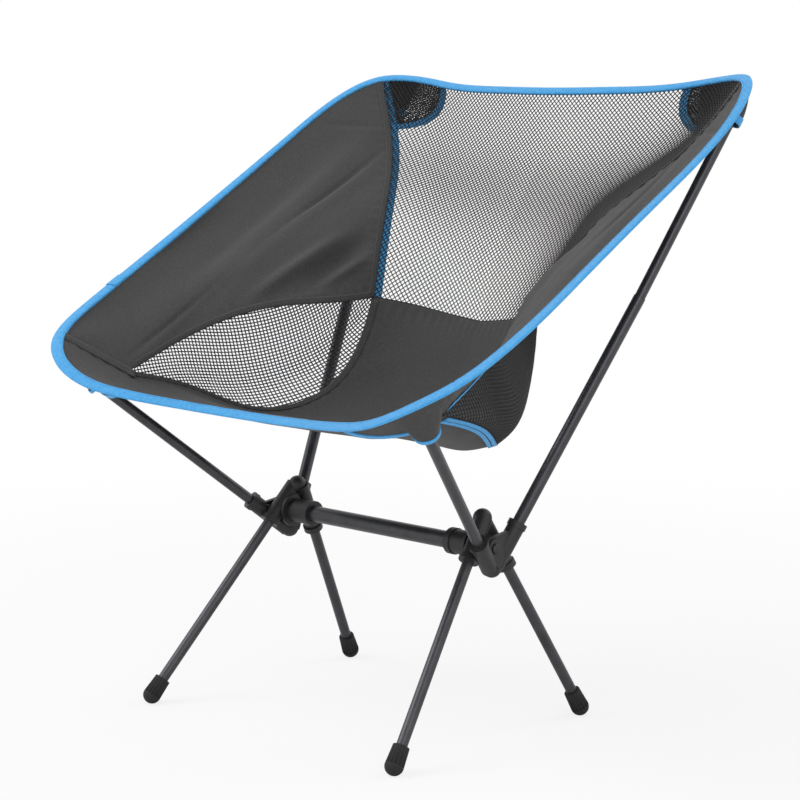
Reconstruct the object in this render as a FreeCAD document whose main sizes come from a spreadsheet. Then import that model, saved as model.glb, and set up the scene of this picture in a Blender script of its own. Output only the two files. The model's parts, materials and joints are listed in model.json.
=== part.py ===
"""Ultralight backpacking chair: plug-in tube frame, two moulded hubs and a sewn hammock seat.

Millimetres. +Z is up and -Y is the front. The origin is on the ground, under the middle of the chair.
"Left" is the -X side. The driving sizes are cells of the Sizes sheet, and the seat's outline and seams
are the short lists of points after them, measured from the crossbar's axis and the ground.
"""
import FreeCAD, Part
import math
import os
import Sketcher

V = FreeCAD.Vector
AXIS_X = V(1, 0, 0)
AXIS_Z = V(0, 0, 1)
SIDES = (("left", -1), ("right", 1))
TINY = 1e-6

# ----------------------------------------------------------------------------------------------
# Driving dimensions (mm)
# ----------------------------------------------------------------------------------------------
SIZES = {
    # Frame layout, right-hand side, measured from the middle of the crossbar
    "bar_height": 187.0,
    "mouth_offset": 98.5,
    "leg_front_hub_x": 140.7,
    "leg_front_hub_y": -14.6,
    "leg_rear_hub_x": 134.1,
    "leg_rear_hub_y": 22.8,
    "foot_front_x": 175.6,
    "foot_front_y": -158.0,
    "foot_rear_x": 166.4,
    "foot_rear_y": 117.6,
    "pole_front_hub_x": 157.0,
    "pole_front_hub_y": -19.8,
    "pole_rear_hub_x": 150.0,
    "pole_rear_hub_y": 23.4,
    "tip_front_x": 234.0,
    "tip_front_y": -177.0,
    "tip_front_z": 329.0,
    "knee_rear_x": 202.0,
    "knee_rear_y": 160.0,
    "knee_rear_z": 423.0,
    "tip_rear_x": 239.0,
    "tip_rear_y": 265.0,
    "tip_rear_z": 610.0,
    # Tubes
    "bar_dia": 17.0,
    "bar_wall": 1.3,
    "leg_dia": 11.0,
    "leg_wall": 0.9,
    "front_pole_dia": 11.0,
    "rear_upper_dia": 11.0,
    "pole_wall": 0.9,
    "rear_lower_dia": 12.4,
    "ferrule_length": 56.0,
    "ferrule_wall": 0.8,
    "fit_gap": 0.05,
    "seat_gap": 0.3,
    # Hubs
    "bar_socket_depth": 32.0,
    "leg_socket_depth": 30.0,
    "front_pole_depth": 30.0,
    "rear_pole_depth": 38.0,
    "leg_front_mouth_drop": 11.0,
    "leg_rear_mouth_drop": 26.0,
    "pole_front_mouth_rise": 11.0,
    "pole_rear_mouth_rise": 21.0,
    "sleeve_dia": 24.5,
    "sleeve_ring_dia": 26.5,
    "sleeve_ring_length": 7.0,
    "sleeve_end": 148.0,
    "boss_dia": 20.0,
    "boss_end": 157.5,
    "leg_socket_dia": 17.0,
    "leg_ring_dia": 20.5,
    "pole_socket_dia": 17.5,
    "pole_ring_dia": 19.5,
    "socket_ring_length": 6.0,
    "apex_rise": 26.0,
    "lobe_drop": 22.0,
    "knot_y": 8.0,
    "knot_radius": 9.5,
    "web_thick": 5.0,
    "fin_thick": 3.0,
    "fin_radius": 17.5,
    "rivet_dia": 5.0,
    "rivet_length": 21.0,
    "rivet_head_dia": 11.0,
    "rivet_head_height": 2.2,
    # Rubber feet, pole tips and shock cords
    "foot_length": 29.0,
    "foot_top_dia": 16.4,
    "foot_dia": 18.6,
    "foot_insert": 21.0,
    "foot_axis_height": 8.8,
    "flute_count": 16.0,
    "flute_dia": 2.6,
    "flute_depth": 0.3,
    "cap_dia": 13.6,
    "cap_length": 14.0,
    "cap_insert": 10.0,
    "cord_dia": 3.0,
    # Sewn seat
    "cloth_thick": 1.2,
    "net_thick": 1.0,
    "tape_width": 9.0,
    "tape_thick": 0.8,
    "binding_width": 9.0,
    "binding_thick": 2.6,
    "seam_gap": 0.9,
    "layer_gap": 0.3,
    "net_bulge": 24.0,
    "seat_crown": 16.0,
    "corner_reach": 88.0,
    "corner_drop": 58.0,
    "pocket_front_length": 26.0,
    "pocket_rear_length": 52.0,
    "pocket_mouth_radius": 13.0,
    "pocket_tip_radius": 9.0,
    "pocket_wall": 1.2,
    "pocket_tape_width": 8.0,
}

# Outline of the seat's right half, from the middle of the front edge to the middle of the top edge
RIM = [V(0, -175, 318), V(90, -189, 322), V(150, -207, 327), V(205, -219, 336), V(250, -214, 354),
       V(277, -192, 372), V(292, -140, 402), V(294, -40, 460), V(295, 60, 521), V(295, 150, 576),
       V(286, 209, 615), V(256, 256, 640), V(222, 273, 641), V(160, 272, 633), V(80, 266, 629),
       V(0, 262, 628)]
# Where the cloth heads from each of those points
RIM_AIM = [V(0, -60, 285), V(80, -60, 287), V(130, -70, 292), V(180, -90, 305), V(215, -130, 335),
           V(225, -120, 350), V(218, -90, 368), V(190, -10, 395), V(140, 60, 403), V(130, 115, 440),
           V(165, 175, 520), V(200, 215, 565), V(190, 212, 556), V(130, 190, 500), V(65, 180, 480),
           V(0, 175, 470)]
FRONT_CORNER, TOP_CORNER = 5, 11
NET_TIP = V(222, -140, 340)
SEAM_MEET = V(113, 105, 408)
SEAM_BACK = [V(205, 222, 565), V(150, 157, 495)]
SEAM_LUMBAR = [V(81, 132, 398), V(42, 145, 390), V(0, 148, 385)]
SEAM_UPPER = [V(207, -70, 374), V(168, 5, 399), V(130, 66, 403)]
SEAM_LOWER = [V(206, -66, 315), V(172, -16, 293), V(124, 44, 313), V(113, 78, 354)]
BOWL_MIDDLE = V(0, 40, 480)
NET_SAG = V(0.90, 0.42, -0.12)
# Edge binding: where its two ends meet and half the gap there, as shares of its way round
SPLICE = 0.185
SPLICE_GAP = 0.0006
BINDING_STEPS = 240
BINDING_END_STEPS = 3      # so many steps at each cut end are folded narrower
BINDING_END_TRIM = 0.9
# Each panel's grid: steps across the seat, from front to back, and along a side
ACROSS, ALONG, SIDE_STEPS, TAB_STEPS, NET_STEPS = 24, 14, 26, 6, 6
SIDE_START, NET_START = 0.02, 0.04      # shares left off where a panel narrows to a point
# Second layer of net in each top corner: where it starts, and its gaps to the seam and the edge
PATCH_START, PATCH_SEAM_GAP, PATCH_EDGE_GAP = 0.15, 0.014, 0.006
PATCH_TURN_STEPS, PATCH_STEPS, PATCH_TAPE_STEPS = 12, 6, 3
# The tapes on the side nets' seams stand this much further out, clear of the bulging net
UPPER_TAPE_OUT, LOWER_TAPE_OUT = 0.6, 0.4

doc = FreeCAD.newDocument("BackpackingChair")
sheet = doc.addObject("Spreadsheet::Sheet", "Sizes")
parts = []
rows = {}


def set_size(alias, number):
    """Write one plain number into the sheet under its alias."""
    row = rows.setdefault(alias, len(rows) + 1)
    sheet.set(f"A{row}", alias)
    sheet.set(f"B{row}", str(round(number, 6)))
    sheet.setAlias(f"B{row}", alias)
    return number


for name, number in SIZES.items():
    set_size(name, number)


def mm(alias):
    return SIZES[alias]


def unit(vector):
    return vector * (1.0 / vector.Length)


def flip(point, side):
    return V(side * point.x, point.y, point.z)


def place(point, direction):
    """A placement that puts a piece's own +Z along direction."""
    return FreeCAD.Placement(point, FreeCAD.Rotation(AXIS_Z, direction))


def keep(obj, label):
    obj.Label = label
    parts.append(obj)
    return obj


# ----------------------------------------------------------------------------------------------
# Seat curves, and the grid of points that each panel follows
# ----------------------------------------------------------------------------------------------
def spline(points, closed=False):
    curve = Part.BSplineCurve()
    curve.interpolate(Points=points, PeriodicFlag=closed)
    return curve


def spread(points, count):
    """Evenly spaced points along the smooth curve through points."""
    return spline(points).toShape().discretize(Number=count + 1)


rim_curve = spline(RIM + [flip(p, -1) for p in RIM[-2:0:-1]], closed=True)
rim_half = rim_curve.LastParameter / 2
rim_knots = [0.0] + [rim_curve.parameter(p) for p in RIM[1:-1]] + [rim_half]
rim_samples = [rim_curve.value(rim_half * i / 200) for i in range(201)]
HUB_Y = -(min(p.y for p in rim_samples) + max(p.y for p in rim_samples)) / 2
SHIFT = V(0, HUB_Y, 0)


def rim_point(knot, inset):
    """A point of the right half of the outline, moved by inset into the cloth."""
    place_in = max(i for i in range(len(RIM) - 1) if rim_knots[i] <= knot + TINY)
    low, high = rim_knots[place_in], rim_knots[place_in + 1]
    share = (knot - low) / (high - low)
    aims = [RIM_AIM[i] - RIM[i] for i in (place_in, place_in + 1)]
    return rim_curve.value(knot) + unit(aims[0] * (1 - share) + aims[1] * share) * inset


def rim_run(first, last, inset, count):
    low, high = rim_knots[first], rim_knots[last]
    return [rim_point(low + (high - low) * i / count, inset) for i in range(count + 1)]


def both_halves(right_run):
    """A run that starts at the middle, with its mirror image put before it."""
    return [flip(p, -1) for p in right_run[:0:-1]] + right_run


def coons(south, north, west, east, bulge=V(0, 0, 0), peak=1.0, start=0.0):
    """Grid of points between four edges; bulge pushes its middle out, further along for peak > 1."""
    wide, tall = len(south) - 1, len(west) - 1
    grid = []
    for i in range(wide + 1):
        u = i / wide
        row = []
        for j in range(tall + 1):
            v = j / tall
            ruled = south[i] * (1 - v) + north[i] * v + west[j] * (1 - u) + east[j] * u
            corners = (south[0] * (1 - u) + south[-1] * u) * (1 - v)
            corners = corners + (north[0] * (1 - u) + north[-1] * u) * v
            swell = math.sin(math.pi * u ** peak) * math.sin(math.pi * v)
            row.append(ruled - corners + bulge * swell)
        grid.append(row)
    return [row for i, row in enumerate(grid) if i / wide >= start]


def drawn_in(grid, west=0.0, east=0.0, south=0.0, north=0.0):
    """Move the grid's edges inwards by distances, to leave room for the seams."""
    def pull(point, towards, gap):
        return point + unit(towards - point) * gap if gap else point
    rows_in = [list(row) for row in grid]
    rows_in[0] = [pull(a, b, west) for a, b in zip(grid[0], grid[1])]
    rows_in[-1] = [pull(a, b, east) for a, b in zip(grid[-1], grid[-2])]
    for new in rows_in:
        new[0], new[-1] = pull(new[0], new[1], south), pull(new[-1], new[-2], north)
    return rows_in


def normals(grid):
    """Unit normal at each grid point, facing into the bowl of the seat."""
    wide, tall = len(grid) - 1, len(grid[0]) - 1
    result = []
    for i in range(wide + 1):
        row = []
        for j in range(tall + 1):
            along = grid[min(i + 1, wide)][j] - grid[max(i - 1, 0)][j]
            across = grid[i][min(j + 1, tall)] - grid[i][max(j - 1, 0)]
            row.append(unit(along.cross(across)))
        result.append(row)
    middle = grid[wide // 2][tall // 2]
    inwards = result[wide // 2][tall // 2].dot(BOWL_MIDDLE - middle) > 0
    return result if inwards else [[n * -1 for n in row] for row in result]


def moved(grid, distance, facing):
    return [[p + n * distance for p, n in zip(a, b)] for a, b in zip(grid, facing)]


def sheet_solid(grid, thick, out=0.0):
    """Closed solid of a curved sheet: its middle lies out from the grid, away from the bowl."""
    facing = normals(grid)
    surfaces = []
    for offset in (thick / 2 - out, -thick / 2 - out):
        surface = Part.BSplineSurface()
        surface.interpolate(moved(grid, offset, facing))
        surfaces.append(surface)
    faces = [surface.toShape() for surface in surfaces]
    low_u, high_u, low_v, high_v = surfaces[0].bounds()
    for rim in (lambda s: s.uIso(low_u), lambda s: s.uIso(high_u),
                lambda s: s.vIso(low_v), lambda s: s.vIso(high_v)):
        faces.append(Part.makeRuledSurface(*[rim(surface).toShape() for surface in surfaces]))
    shell = Part.Shell(faces)
    shell.sewShape()
    solid = Part.Solid(shell)
    return solid if solid.Volume > 0 else solid.reversed()


def sheet_part(label, grid, thick, side=1, out=0.0):
    """Add one sheet as a feature, standing where the seat hangs."""
    solid = sheet_solid([[flip(p, side) for p in row] for row in grid], thick, out)
    feature = doc.addObject("Part::Feature", label)
    feature.Shape = solid
    feature.Placement = FreeCAD.Placement(SHIFT, FreeCAD.Rotation())
    return keep(feature, label)


EDGE_IN = mm("binding_width") + mm("layer_gap")
top_corner = rim_point(rim_knots[TOP_CORNER], EDGE_IN)
front_corner = rim_point(rim_knots[FRONT_CORNER], EDGE_IN)
back_seam = spread([top_corner] + SEAM_BACK + [SEAM_MEET], ALONG)
lumbar_seam = both_halves(spread([SEAM_LUMBAR[2], SEAM_LUMBAR[1], SEAM_LUMBAR[0], SEAM_MEET], ACROSS // 2))
tab_seam = spread([front_corner, (front_corner + NET_TIP) * 0.5, NET_TIP], TAB_STEPS)
upper_seam = spread([NET_TIP] + SEAM_UPPER + [SEAM_MEET], SIDE_STEPS - TAB_STEPS)
lower_seam = spread([front_corner, NET_TIP] + SEAM_LOWER + [SEAM_MEET], SIDE_STEPS)
net_lower = spread([NET_TIP] + SEAM_LOWER + [SEAM_MEET], SIDE_STEPS - TAB_STEPS)
front_run = both_halves(rim_run(0, FRONT_CORNER, EDGE_IN, ACROSS // 2))
side_run = rim_run(FRONT_CORNER, TOP_CORNER, EDGE_IN, SIDE_STEPS)
top_run = both_halves(rim_run(TOP_CORNER, len(RIM) - 1, EDGE_IN, ACROSS // 2)[::-1])

seat_grid = coons(front_run, lumbar_seam, [flip(p, -1) for p in lower_seam], lower_seam,
                  bulge=V(0, 0, mm("seat_crown")))
back_grid = coons(lumbar_seam, top_run, [flip(p, -1) for p in back_seam[::-1]], back_seam[::-1])
side_grid = coons(side_run, tab_seam[:-1] + upper_seam, [front_corner] * (ALONG + 1), back_seam,
                  start=SIDE_START)
net_grid = coons(upper_seam, net_lower, [NET_TIP] * (NET_STEPS + 1), [SEAM_MEET] * (NET_STEPS + 1),
                 bulge=NET_SAG * mm("net_bulge"), peak=1.5, start=NET_START)[:-1]


# ----------------------------------------------------------------------------------------------
# Sewn seat
# ----------------------------------------------------------------------------------------------
def edge_binding():
    """Tape folded over the whole edge; its two ends meet at the splice on the left side."""
    steps, whole = BINDING_STEPS, 2 * rim_half
    first = whole * (SPLICE_GAP - SPLICE)
    run = whole * (1 - 2 * SPLICE_GAP)
    grid = []
    for i in range(steps + 1):
        knot = (first + run * i / steps) % whole
        side = 1 if knot <= rim_half else -1
        half_knot = knot if side > 0 else whole - knot
        ends_in = BINDING_END_TRIM if min(i, steps - i) < BINDING_END_STEPS else 0
        depth = mm("binding_width") - ends_in
        grid.append([flip(rim_point(half_knot, depth * s), side) for s in (0.0, 0.5, 1.0)])
    sheet_part("edge_binding", grid, mm("binding_thick"))


def seam_strip(first, second, out):
    """Grid of a tape over a seam, from the points and inward neighbours of its two panels."""
    half = mm("tape_width") / 2
    grid = []
    for (a, a_in, a_face), (b, b_in, b_face) in zip(first, second):
        ridge = (a + b) * 0.5 - unit(a_face + b_face) * out
        grid.append([a + unit(a_in - a) * half - a_face * out, ridge,
                     b + unit(b_in - b) * half - b_face * out])
    return grid


def border(grid, facing, edge):
    """Points, inward neighbours and normals along one edge of a panel's grid."""
    if edge in ("west", "east"):
        line, inner = (0, 1) if edge == "west" else (-1, -2)
        return list(zip(grid[line], grid[inner], facing[line]))
    line, inner = (0, 1) if edge == "south" else (-1, -2)
    return [(row[line], row[inner], face[line]) for row, face in zip(grid, facing)]


gap = mm("seam_gap")
seat_cut = drawn_in(seat_grid, west=gap, east=gap, north=gap)
back_cut = drawn_in(back_grid, west=gap, east=gap, south=gap)
side_cut = drawn_in(side_grid, east=gap, north=gap)
net_cut = drawn_in(net_grid, south=gap, north=gap)
tape_out = mm("cloth_thick") / 2 + mm("layer_gap") + mm("tape_thick") / 2

sheet_part("seat_panel", seat_cut, mm("cloth_thick"))
sheet_part("back_net", back_cut, mm("net_thick"))
edge_binding()

back_surface = Part.BSplineSurface()
back_surface.interpolate(back_grid)


def corner_grid(near, far, steps):
    """Quarter-round stretch of the back net beside its top right corner."""
    width = 2 * top_corner.x
    height = (back_seam[0] - back_seam[-1]).Length
    grid = []
    for i in range(PATCH_TURN_STEPS + 1):
        turn = math.pi / 2 * i / PATCH_TURN_STEPS
        row = []
        for j in range(steps + 1):
            reach = near + (far - near) * j / steps
            u = 1 - reach * mm("corner_reach") / width * math.cos(turn) - PATCH_SEAM_GAP
            v = 1 - reach * mm("corner_drop") / height * math.sin(turn) - PATCH_EDGE_GAP
            row.append(back_surface.value(u, v))
        grid.append(row)
    return grid


patch_out = mm("net_thick") + mm("layer_gap")
patch_tape_out = patch_out + mm("net_thick") / 2 + mm("layer_gap") + mm("tape_thick") / 2
tape_share = mm("tape_width") / mm("corner_reach")
for word, side in SIDES:
    sheet_part(f"side_panel_{word}", side_cut, mm("cloth_thick"), side)
    sheet_part(f"side_net_{word}", net_cut, mm("net_thick"), side)
    sheet_part(f"corner_patch_{word}", corner_grid(PATCH_START, 1.0, PATCH_STEPS), mm("net_thick"),
               side, patch_out)
    sheet_part(f"corner_tape_{word}", corner_grid(1.0 - tape_share, 1.0, PATCH_TAPE_STEPS),
               mm("tape_thick"), side, patch_tape_out)

back_strip = seam_strip(border(side_cut, normals(side_cut), "east"),
                        border(back_cut, normals(back_cut), "east")[::-1], tape_out)
net_start = len(side_cut) - len(net_cut)
side_border = border(side_cut, normals(side_cut), "north")
seat_border = border(seat_cut, normals(seat_cut), "east")
net_faces = normals(net_cut)
upper_strip = seam_strip(side_border[net_start - 1:-1], border(net_cut, net_faces, "south"),
                         tape_out + UPPER_TAPE_OUT)
lower_strip = seam_strip(seat_border[-len(net_cut) - 1:-1], border(net_cut, net_faces, "north"),
                         tape_out + LOWER_TAPE_OUT)
for word, side in SIDES:
    for seam, strip in (("back", back_strip[2:]), ("upper", upper_strip[1:-1]), ("lower", lower_strip[1:-1])):
        sheet_part(f"{seam}_seam_tape_{word}", strip, mm("tape_thick"), side)


# ----------------------------------------------------------------------------------------------
# Frame: axes of the plug-in tubes
# ----------------------------------------------------------------------------------------------
def level_point(x, y):
    return V(mm(x), mm(y) + HUB_Y, mm("bar_height"))


def at_height(start, heading, height):
    return start + heading * ((height - start.z) / heading.z)


BAR = mm("bar_height")
FOOT_R = mm("foot_dia") / 2
AXES = {}
for name in ("leg_front", "leg_rear"):
    row_end = name.split("_")[1]
    start = level_point(f"{name}_hub_x", f"{name}_hub_y")
    foot = V(mm(f"foot_{row_end}_x"), mm(f"foot_{row_end}_y") + HUB_Y, mm("foot_axis_height"))
    heading = unit(foot - start)
    mouth = at_height(start, heading, BAR - mm(f"{name}_mouth_drop"))
    AXES[name] = {"mouth": mouth, "end": foot, "heading": heading,
                  "root": at_height(start, heading, BAR + mm("apex_rise")),
                  "depth": mm("leg_socket_depth"), "dia": mm("leg_dia")}
TIP_FRONT = V(mm("tip_front_x"), mm("tip_front_y") + HUB_Y, mm("tip_front_z"))
KNEE_REAR = V(mm("knee_rear_x"), mm("knee_rear_y") + HUB_Y, mm("knee_rear_z"))
TIP_REAR = V(mm("tip_rear_x"), mm("tip_rear_y") + HUB_Y, mm("tip_rear_z"))
for name, end, dia, depth in (("pole_front", TIP_FRONT, "front_pole_dia", "front_pole_depth"),
                              ("pole_rear", KNEE_REAR, "rear_lower_dia", "rear_pole_depth")):
    start = level_point(f"{name}_hub_x", f"{name}_hub_y")
    heading = unit(end - start)
    AXES[name] = {"mouth": at_height(start, heading, BAR + mm(f"{name}_mouth_rise")), "end": end,
                  "heading": heading, "root": at_height(start, heading, BAR - mm("lobe_drop")),
                  "depth": mm(depth), "dia": mm(dia)}


def tube_start(axis):
    """Where a plugged-in tube begins, just clear of the floor of its socket."""
    return axis["mouth"] - axis["heading"] * (axis["depth"] - mm("seat_gap"))


def flip_axis(axis, side):
    return {key: flip(value, side) if isinstance(value, FreeCAD.Vector) else value
            for key, value in axis.items()}


# ----------------------------------------------------------------------------------------------
# Small builders
# ----------------------------------------------------------------------------------------------
def plane_of(body, role):
    return next(f for f in body.Origin.OriginFeatures if f.Role == role)


def new_sketch(body, name, role="XY_Plane"):
    sketch = body.newObject("Sketcher::SketchObject", name)
    sketch.AttachmentSupport = (plane_of(body, role), "")
    sketch.MapMode = "FlatFace"
    return sketch


def circle(sketch, expression):
    """A circle about the sketch's origin, its radius bound to the sheet."""
    index = sketch.addGeometry(Part.Circle(V(0, 0, 0), AXIS_Z, 5), False)
    sketch.addConstraint(Sketcher.Constraint("Coincident", index, 3, -1, 1))
    number = sketch.addConstraint(Sketcher.Constraint("Radius", index, 5))
    sketch.setExpression(f"Constraints[{number}]", expression)


def tube_body(label, outer, inner, length_alias, placement):
    """Padded ring; inner is None for a solid rod."""
    body = doc.addObject("PartDesign::Body", label)
    sketch = new_sketch(body, f"{label}_section")
    circle(sketch, outer)
    if inner:
        circle(sketch, inner)
    pad = body.newObject("PartDesign::Pad", f"{label}_pad")
    pad.Profile = sketch
    pad.setExpression("Length", f"Sizes.{length_alias}")
    body.Placement = placement
    return body


def turned_body(label, outline, placement):
    """Body turned about its own Z; outline is a closed run of (radius, height) points, where a
    fourth value marks an arc that passes through (third, fourth) on its way there."""
    body = doc.addObject("PartDesign::Body", label)
    sketch = new_sketch(body, f"{label}_outline", "XZ_Plane")
    before = outline[-1]
    for point in outline:
        start, end = V(before[0], before[1], 0), V(point[0], point[1], 0)
        if len(point) == 4:
            sketch.addGeometry(Part.Arc(start, V(point[2], point[3], 0), end), False)
        else:
            sketch.addGeometry(Part.LineSegment(start, end), False)
        before = point
    turn = body.newObject("PartDesign::Revolution", f"{label}_turn")
    turn.Profile = sketch
    turn.ReferenceAxis = (sketch, ["V_Axis"])
    turn.Angle = 360
    body.Placement = placement
    return body


def cylinder(name, radius, length_alias, placement):
    rod = doc.addObject("Part::Cylinder", name)
    rod.setExpression("Radius", radius)
    rod.setExpression("Height", f"Sizes.{length_alias}")
    rod.Placement = placement
    return rod


def ball(name, radius, centre):
    sphere = doc.addObject("Part::Sphere", name)
    sphere.setExpression("Radius", radius)
    sphere.Placement = FreeCAD.Placement(centre, FreeCAD.Rotation())
    return sphere


def fused(name, shapes):
    union = doc.addObject("Part::MultiFuse", name)
    union.Shapes = shapes
    union.Refine = True
    return union


def cut(name, base, tool):
    result = doc.addObject("Part::Cut", name)
    result.Base = base
    result.Tool = tool
    return result


def plate(name, corners, thick_alias):
    """Flat web across X through the corners, half its thickness to each side."""
    outline = doc.addObject("Part::Polygon", f"{name}_outline")
    outline.Nodes = [p - AXIS_X * (mm(thick_alias) / 2) for p in corners]
    outline.Close = True
    web = doc.addObject("Part::Extrusion", name)
    web.Base = outline
    web.DirMode = "Custom"
    web.Dir = AXIS_X
    web.setExpression("LengthFwd", f"Sizes.{thick_alias}")
    web.Solid = True
    return web


# ----------------------------------------------------------------------------------------------
# Crossbar, hubs and rivets
# ----------------------------------------------------------------------------------------------
bar_half = mm("mouth_offset") + mm("bar_socket_depth") - mm("seat_gap")
set_size("bar_length", 2 * bar_half)
keep(tube_body("crossbar_tube", "Sizes.bar_dia / 2", "Sizes.bar_dia / 2 - Sizes.bar_wall", "bar_length",
               place(V(-bar_half, HUB_Y, BAR), AXIS_X)), "crossbar_tube")

set_size("sleeve_length", mm("sleeve_end") - mm("mouth_offset"))
set_size("boss_length", mm("boss_end") - mm("mouth_offset"))
for name, axis in AXES.items():
    set_size(f"{name}_socket", (axis["root"] - axis["mouth"]).Length)


def hub(word, side):
    """Moulded hub: crossbar sleeve, inner V for the legs, outer V for the seat poles."""
    out = V(side, 0, 0)
    mouth = V(side * mm("mouth_offset"), HUB_Y, BAR)
    solids = [cylinder(f"sleeve_{word}", "Sizes.sleeve_dia / 2", "sleeve_length", place(mouth, out)),
              cylinder(f"sleeve_ring_{word}", "Sizes.sleeve_ring_dia / 2", "sleeve_ring_length",
                       place(mouth, out)),
              cylinder(f"boss_{word}", "Sizes.boss_dia / 2", "boss_length", place(mouth, out))]
    holes = [cylinder(f"bar_bore_{word}", "Sizes.bar_dia / 2 + Sizes.fit_gap", "bar_socket_depth",
                      place(mouth, out))]
    axes = {name: flip_axis(axis, side) for name, axis in AXES.items()}
    for name, axis in axes.items():
        kind = name.split("_")[0]
        tube = {"leg_front": "leg_dia", "leg_rear": "leg_dia",
                "pole_front": "front_pole_dia", "pole_rear": "rear_lower_dia"}[name]
        depth = {"leg_front": "leg_socket_depth", "leg_rear": "leg_socket_depth",
                 "pole_front": "front_pole_depth", "pole_rear": "rear_pole_depth"}[name]
        inwards = place(axis["mouth"], axis["heading"] * -1)
        solids.append(cylinder(f"{name}_socket_{word}", f"Sizes.{kind}_socket_dia / 2",
                               f"{name}_socket", inwards))
        solids.append(cylinder(f"{name}_ring_{word}", f"Sizes.{kind}_ring_dia / 2",
                               "socket_ring_length", inwards))
        holes.append(cylinder(f"{name}_bore_{word}", f"Sizes.{tube} / 2 + Sizes.fit_gap", depth, inwards))
    leg_mid = (axes["leg_front"]["root"] + axes["leg_rear"]["root"]) * 0.5
    pole_mid = (axes["pole_front"]["root"] + axes["pole_rear"]["root"]) * 0.5
    solids.append(ball(f"apex_{word}", "Sizes.knot_radius", leg_mid))
    solids.append(ball(f"lobe_{word}", "Sizes.knot_radius", pole_mid))
    for label, top, low in (("leg", leg_mid, "leg"), ("pole", pole_mid, "pole")):
        arms = [axes[f"{low}_{end}"]["mouth"] - axes[f"{low}_{end}"]["heading"] * mm("socket_ring_length")
                for end in ("front", "rear")]
        plane_x = (top.x + arms[0].x + arms[1].x) / 3
        corners = [V(plane_x, p.y, p.z) for p in (top, arms[0], arms[1])]
        solids.append(plate(f"{label}_web_{word}", corners, "web_thick"))
    fin_at = V(leg_mid.x - side * mm("knot_radius") / 2, HUB_Y, BAR)
    solids.append(cylinder(f"fin_{word}", "Sizes.fin_radius", "fin_thick", place(fin_at, out)))
    rivet_floor = V(side * (mm("boss_end") - mm("rivet_length") - mm("seat_gap")), HUB_Y, BAR)
    set_size("rivet_bore", mm("rivet_length") + 2 * mm("seat_gap"))
    holes.append(cylinder(f"rivet_bore_{word}", "Sizes.rivet_dia / 2 + Sizes.fit_gap", "rivet_bore",
                          place(rivet_floor, out)))
    body = cut(f"hub_{word}", fused(f"hub_solid_{word}", solids), fused(f"hub_holes_{word}", holes))
    keep(body, f"hub_{word}")
    head, dome = mm("rivet_head_dia") / 2, mm("rivet_head_height")
    shank, deep = mm("rivet_dia") / 2, -mm("rivet_length")
    outline = [(0, deep), (shank, deep), (shank, 0), (head, 0),
               (head * 0.6, dome, head * 0.9, dome * 0.7), (0, dome)]
    face = V(side * (mm("boss_end") + TINY), HUB_Y, BAR)
    keep(turned_body(f"hub_rivet_{word}", outline, place(face, out)), f"hub_rivet_{word}")


hub("left", -1)
for left_piece in parts[-2:]:
    label = left_piece.Label.replace("left", "right")
    mirrored = doc.addObject("Part::Mirroring", label)
    mirrored.Source = left_piece
    mirrored.Normal = AXIS_X
    keep(mirrored, label)


# ----------------------------------------------------------------------------------------------
# Legs and rubber feet
# ----------------------------------------------------------------------------------------------
def foot_outline():
    """Rounded end, tapered skirt and the blind hole that takes the leg."""
    top = mm("foot_length") - FOOT_R
    hole = mm("leg_dia") / 2 + mm("fit_gap")
    floor = top - mm("foot_insert")
    diagonal = FOOT_R * math.sqrt(0.5)
    return [(0, -FOOT_R), (FOOT_R, 0, diagonal, -diagonal), (mm("foot_top_dia") / 2, top), (hole, top),
            (hole, floor), (0, floor)]


def rubber_foot(label, centre, up_leg):
    """Fluted cap with a small flat where it stands on the ground."""
    body = turned_body(f"{label}_cap", foot_outline(), place(centre, up_leg))
    doc.recompute()
    sketch = new_sketch(body, f"{label}_flute")
    flute_at = mm("foot_top_dia") / 2 - mm("flute_depth") + mm("flute_dia") / 2
    sketch.addGeometry(Part.Circle(V(flute_at, 0, 0), AXIS_Z, mm("flute_dia") / 2))
    groove = body.newObject("PartDesign::Pocket", f"{label}_groove")
    groove.Profile = sketch
    groove.setExpression("Length", "Sizes.foot_length")
    groove.Reversed = True
    round_cap = body.newObject("PartDesign::PolarPattern", f"{label}_flutes")
    round_cap.Originals = [groove]
    round_cap.Axis = (sketch, ["N_Axis"])
    round_cap.Angle = 360
    round_cap.setExpression("Occurrences", "Sizes.flute_count")
    body.Tip = round_cap
    doc.recompute()
    uncut, fluted = body.Group[1].Shape.Volume, round_cap.Shape.Volume
    if fluted > 0.99 * uncut:
        raise RuntimeError(f"{label}: the flutes cut nothing, {fluted} of {uncut}")
    ground = doc.addObject("Part::Box", f"{label}_ground")
    for edge in ("Length", "Width", "Height"):
        ground.setExpression(edge, "Sizes.foot_dia * 2")
    ground.Placement = FreeCAD.Placement(centre - V(2 * FOOT_R, 2 * FOOT_R, centre.z + 4 * FOOT_R),
                                         FreeCAD.Rotation())
    keep(cut(label, body, ground), label)


cord_ends = []
for name in ("leg_front", "leg_rear"):
    row_end = name.split("_")[1]
    for word, side in SIDES:
        axis = flip_axis(AXES[name], side)
        start = tube_start(axis)
        stop = axis["end"] - axis["heading"] * (mm("foot_length") - FOOT_R - mm("foot_insert"))
        set_size(f"{name}_length", (stop - start).Length)
        keep(tube_body(f"{name}_{word}", "Sizes.leg_dia / 2", "Sizes.leg_dia / 2 - Sizes.leg_wall",
                       f"{name}_length", place(start, axis["heading"])), f"{name}_{word}")
        rubber_foot(f"foot_{row_end}_{word}", axis["end"], axis["heading"] * -1)
        cord_ends.append((f"leg_cord_{row_end}_{word}", axis, stop))


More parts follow.
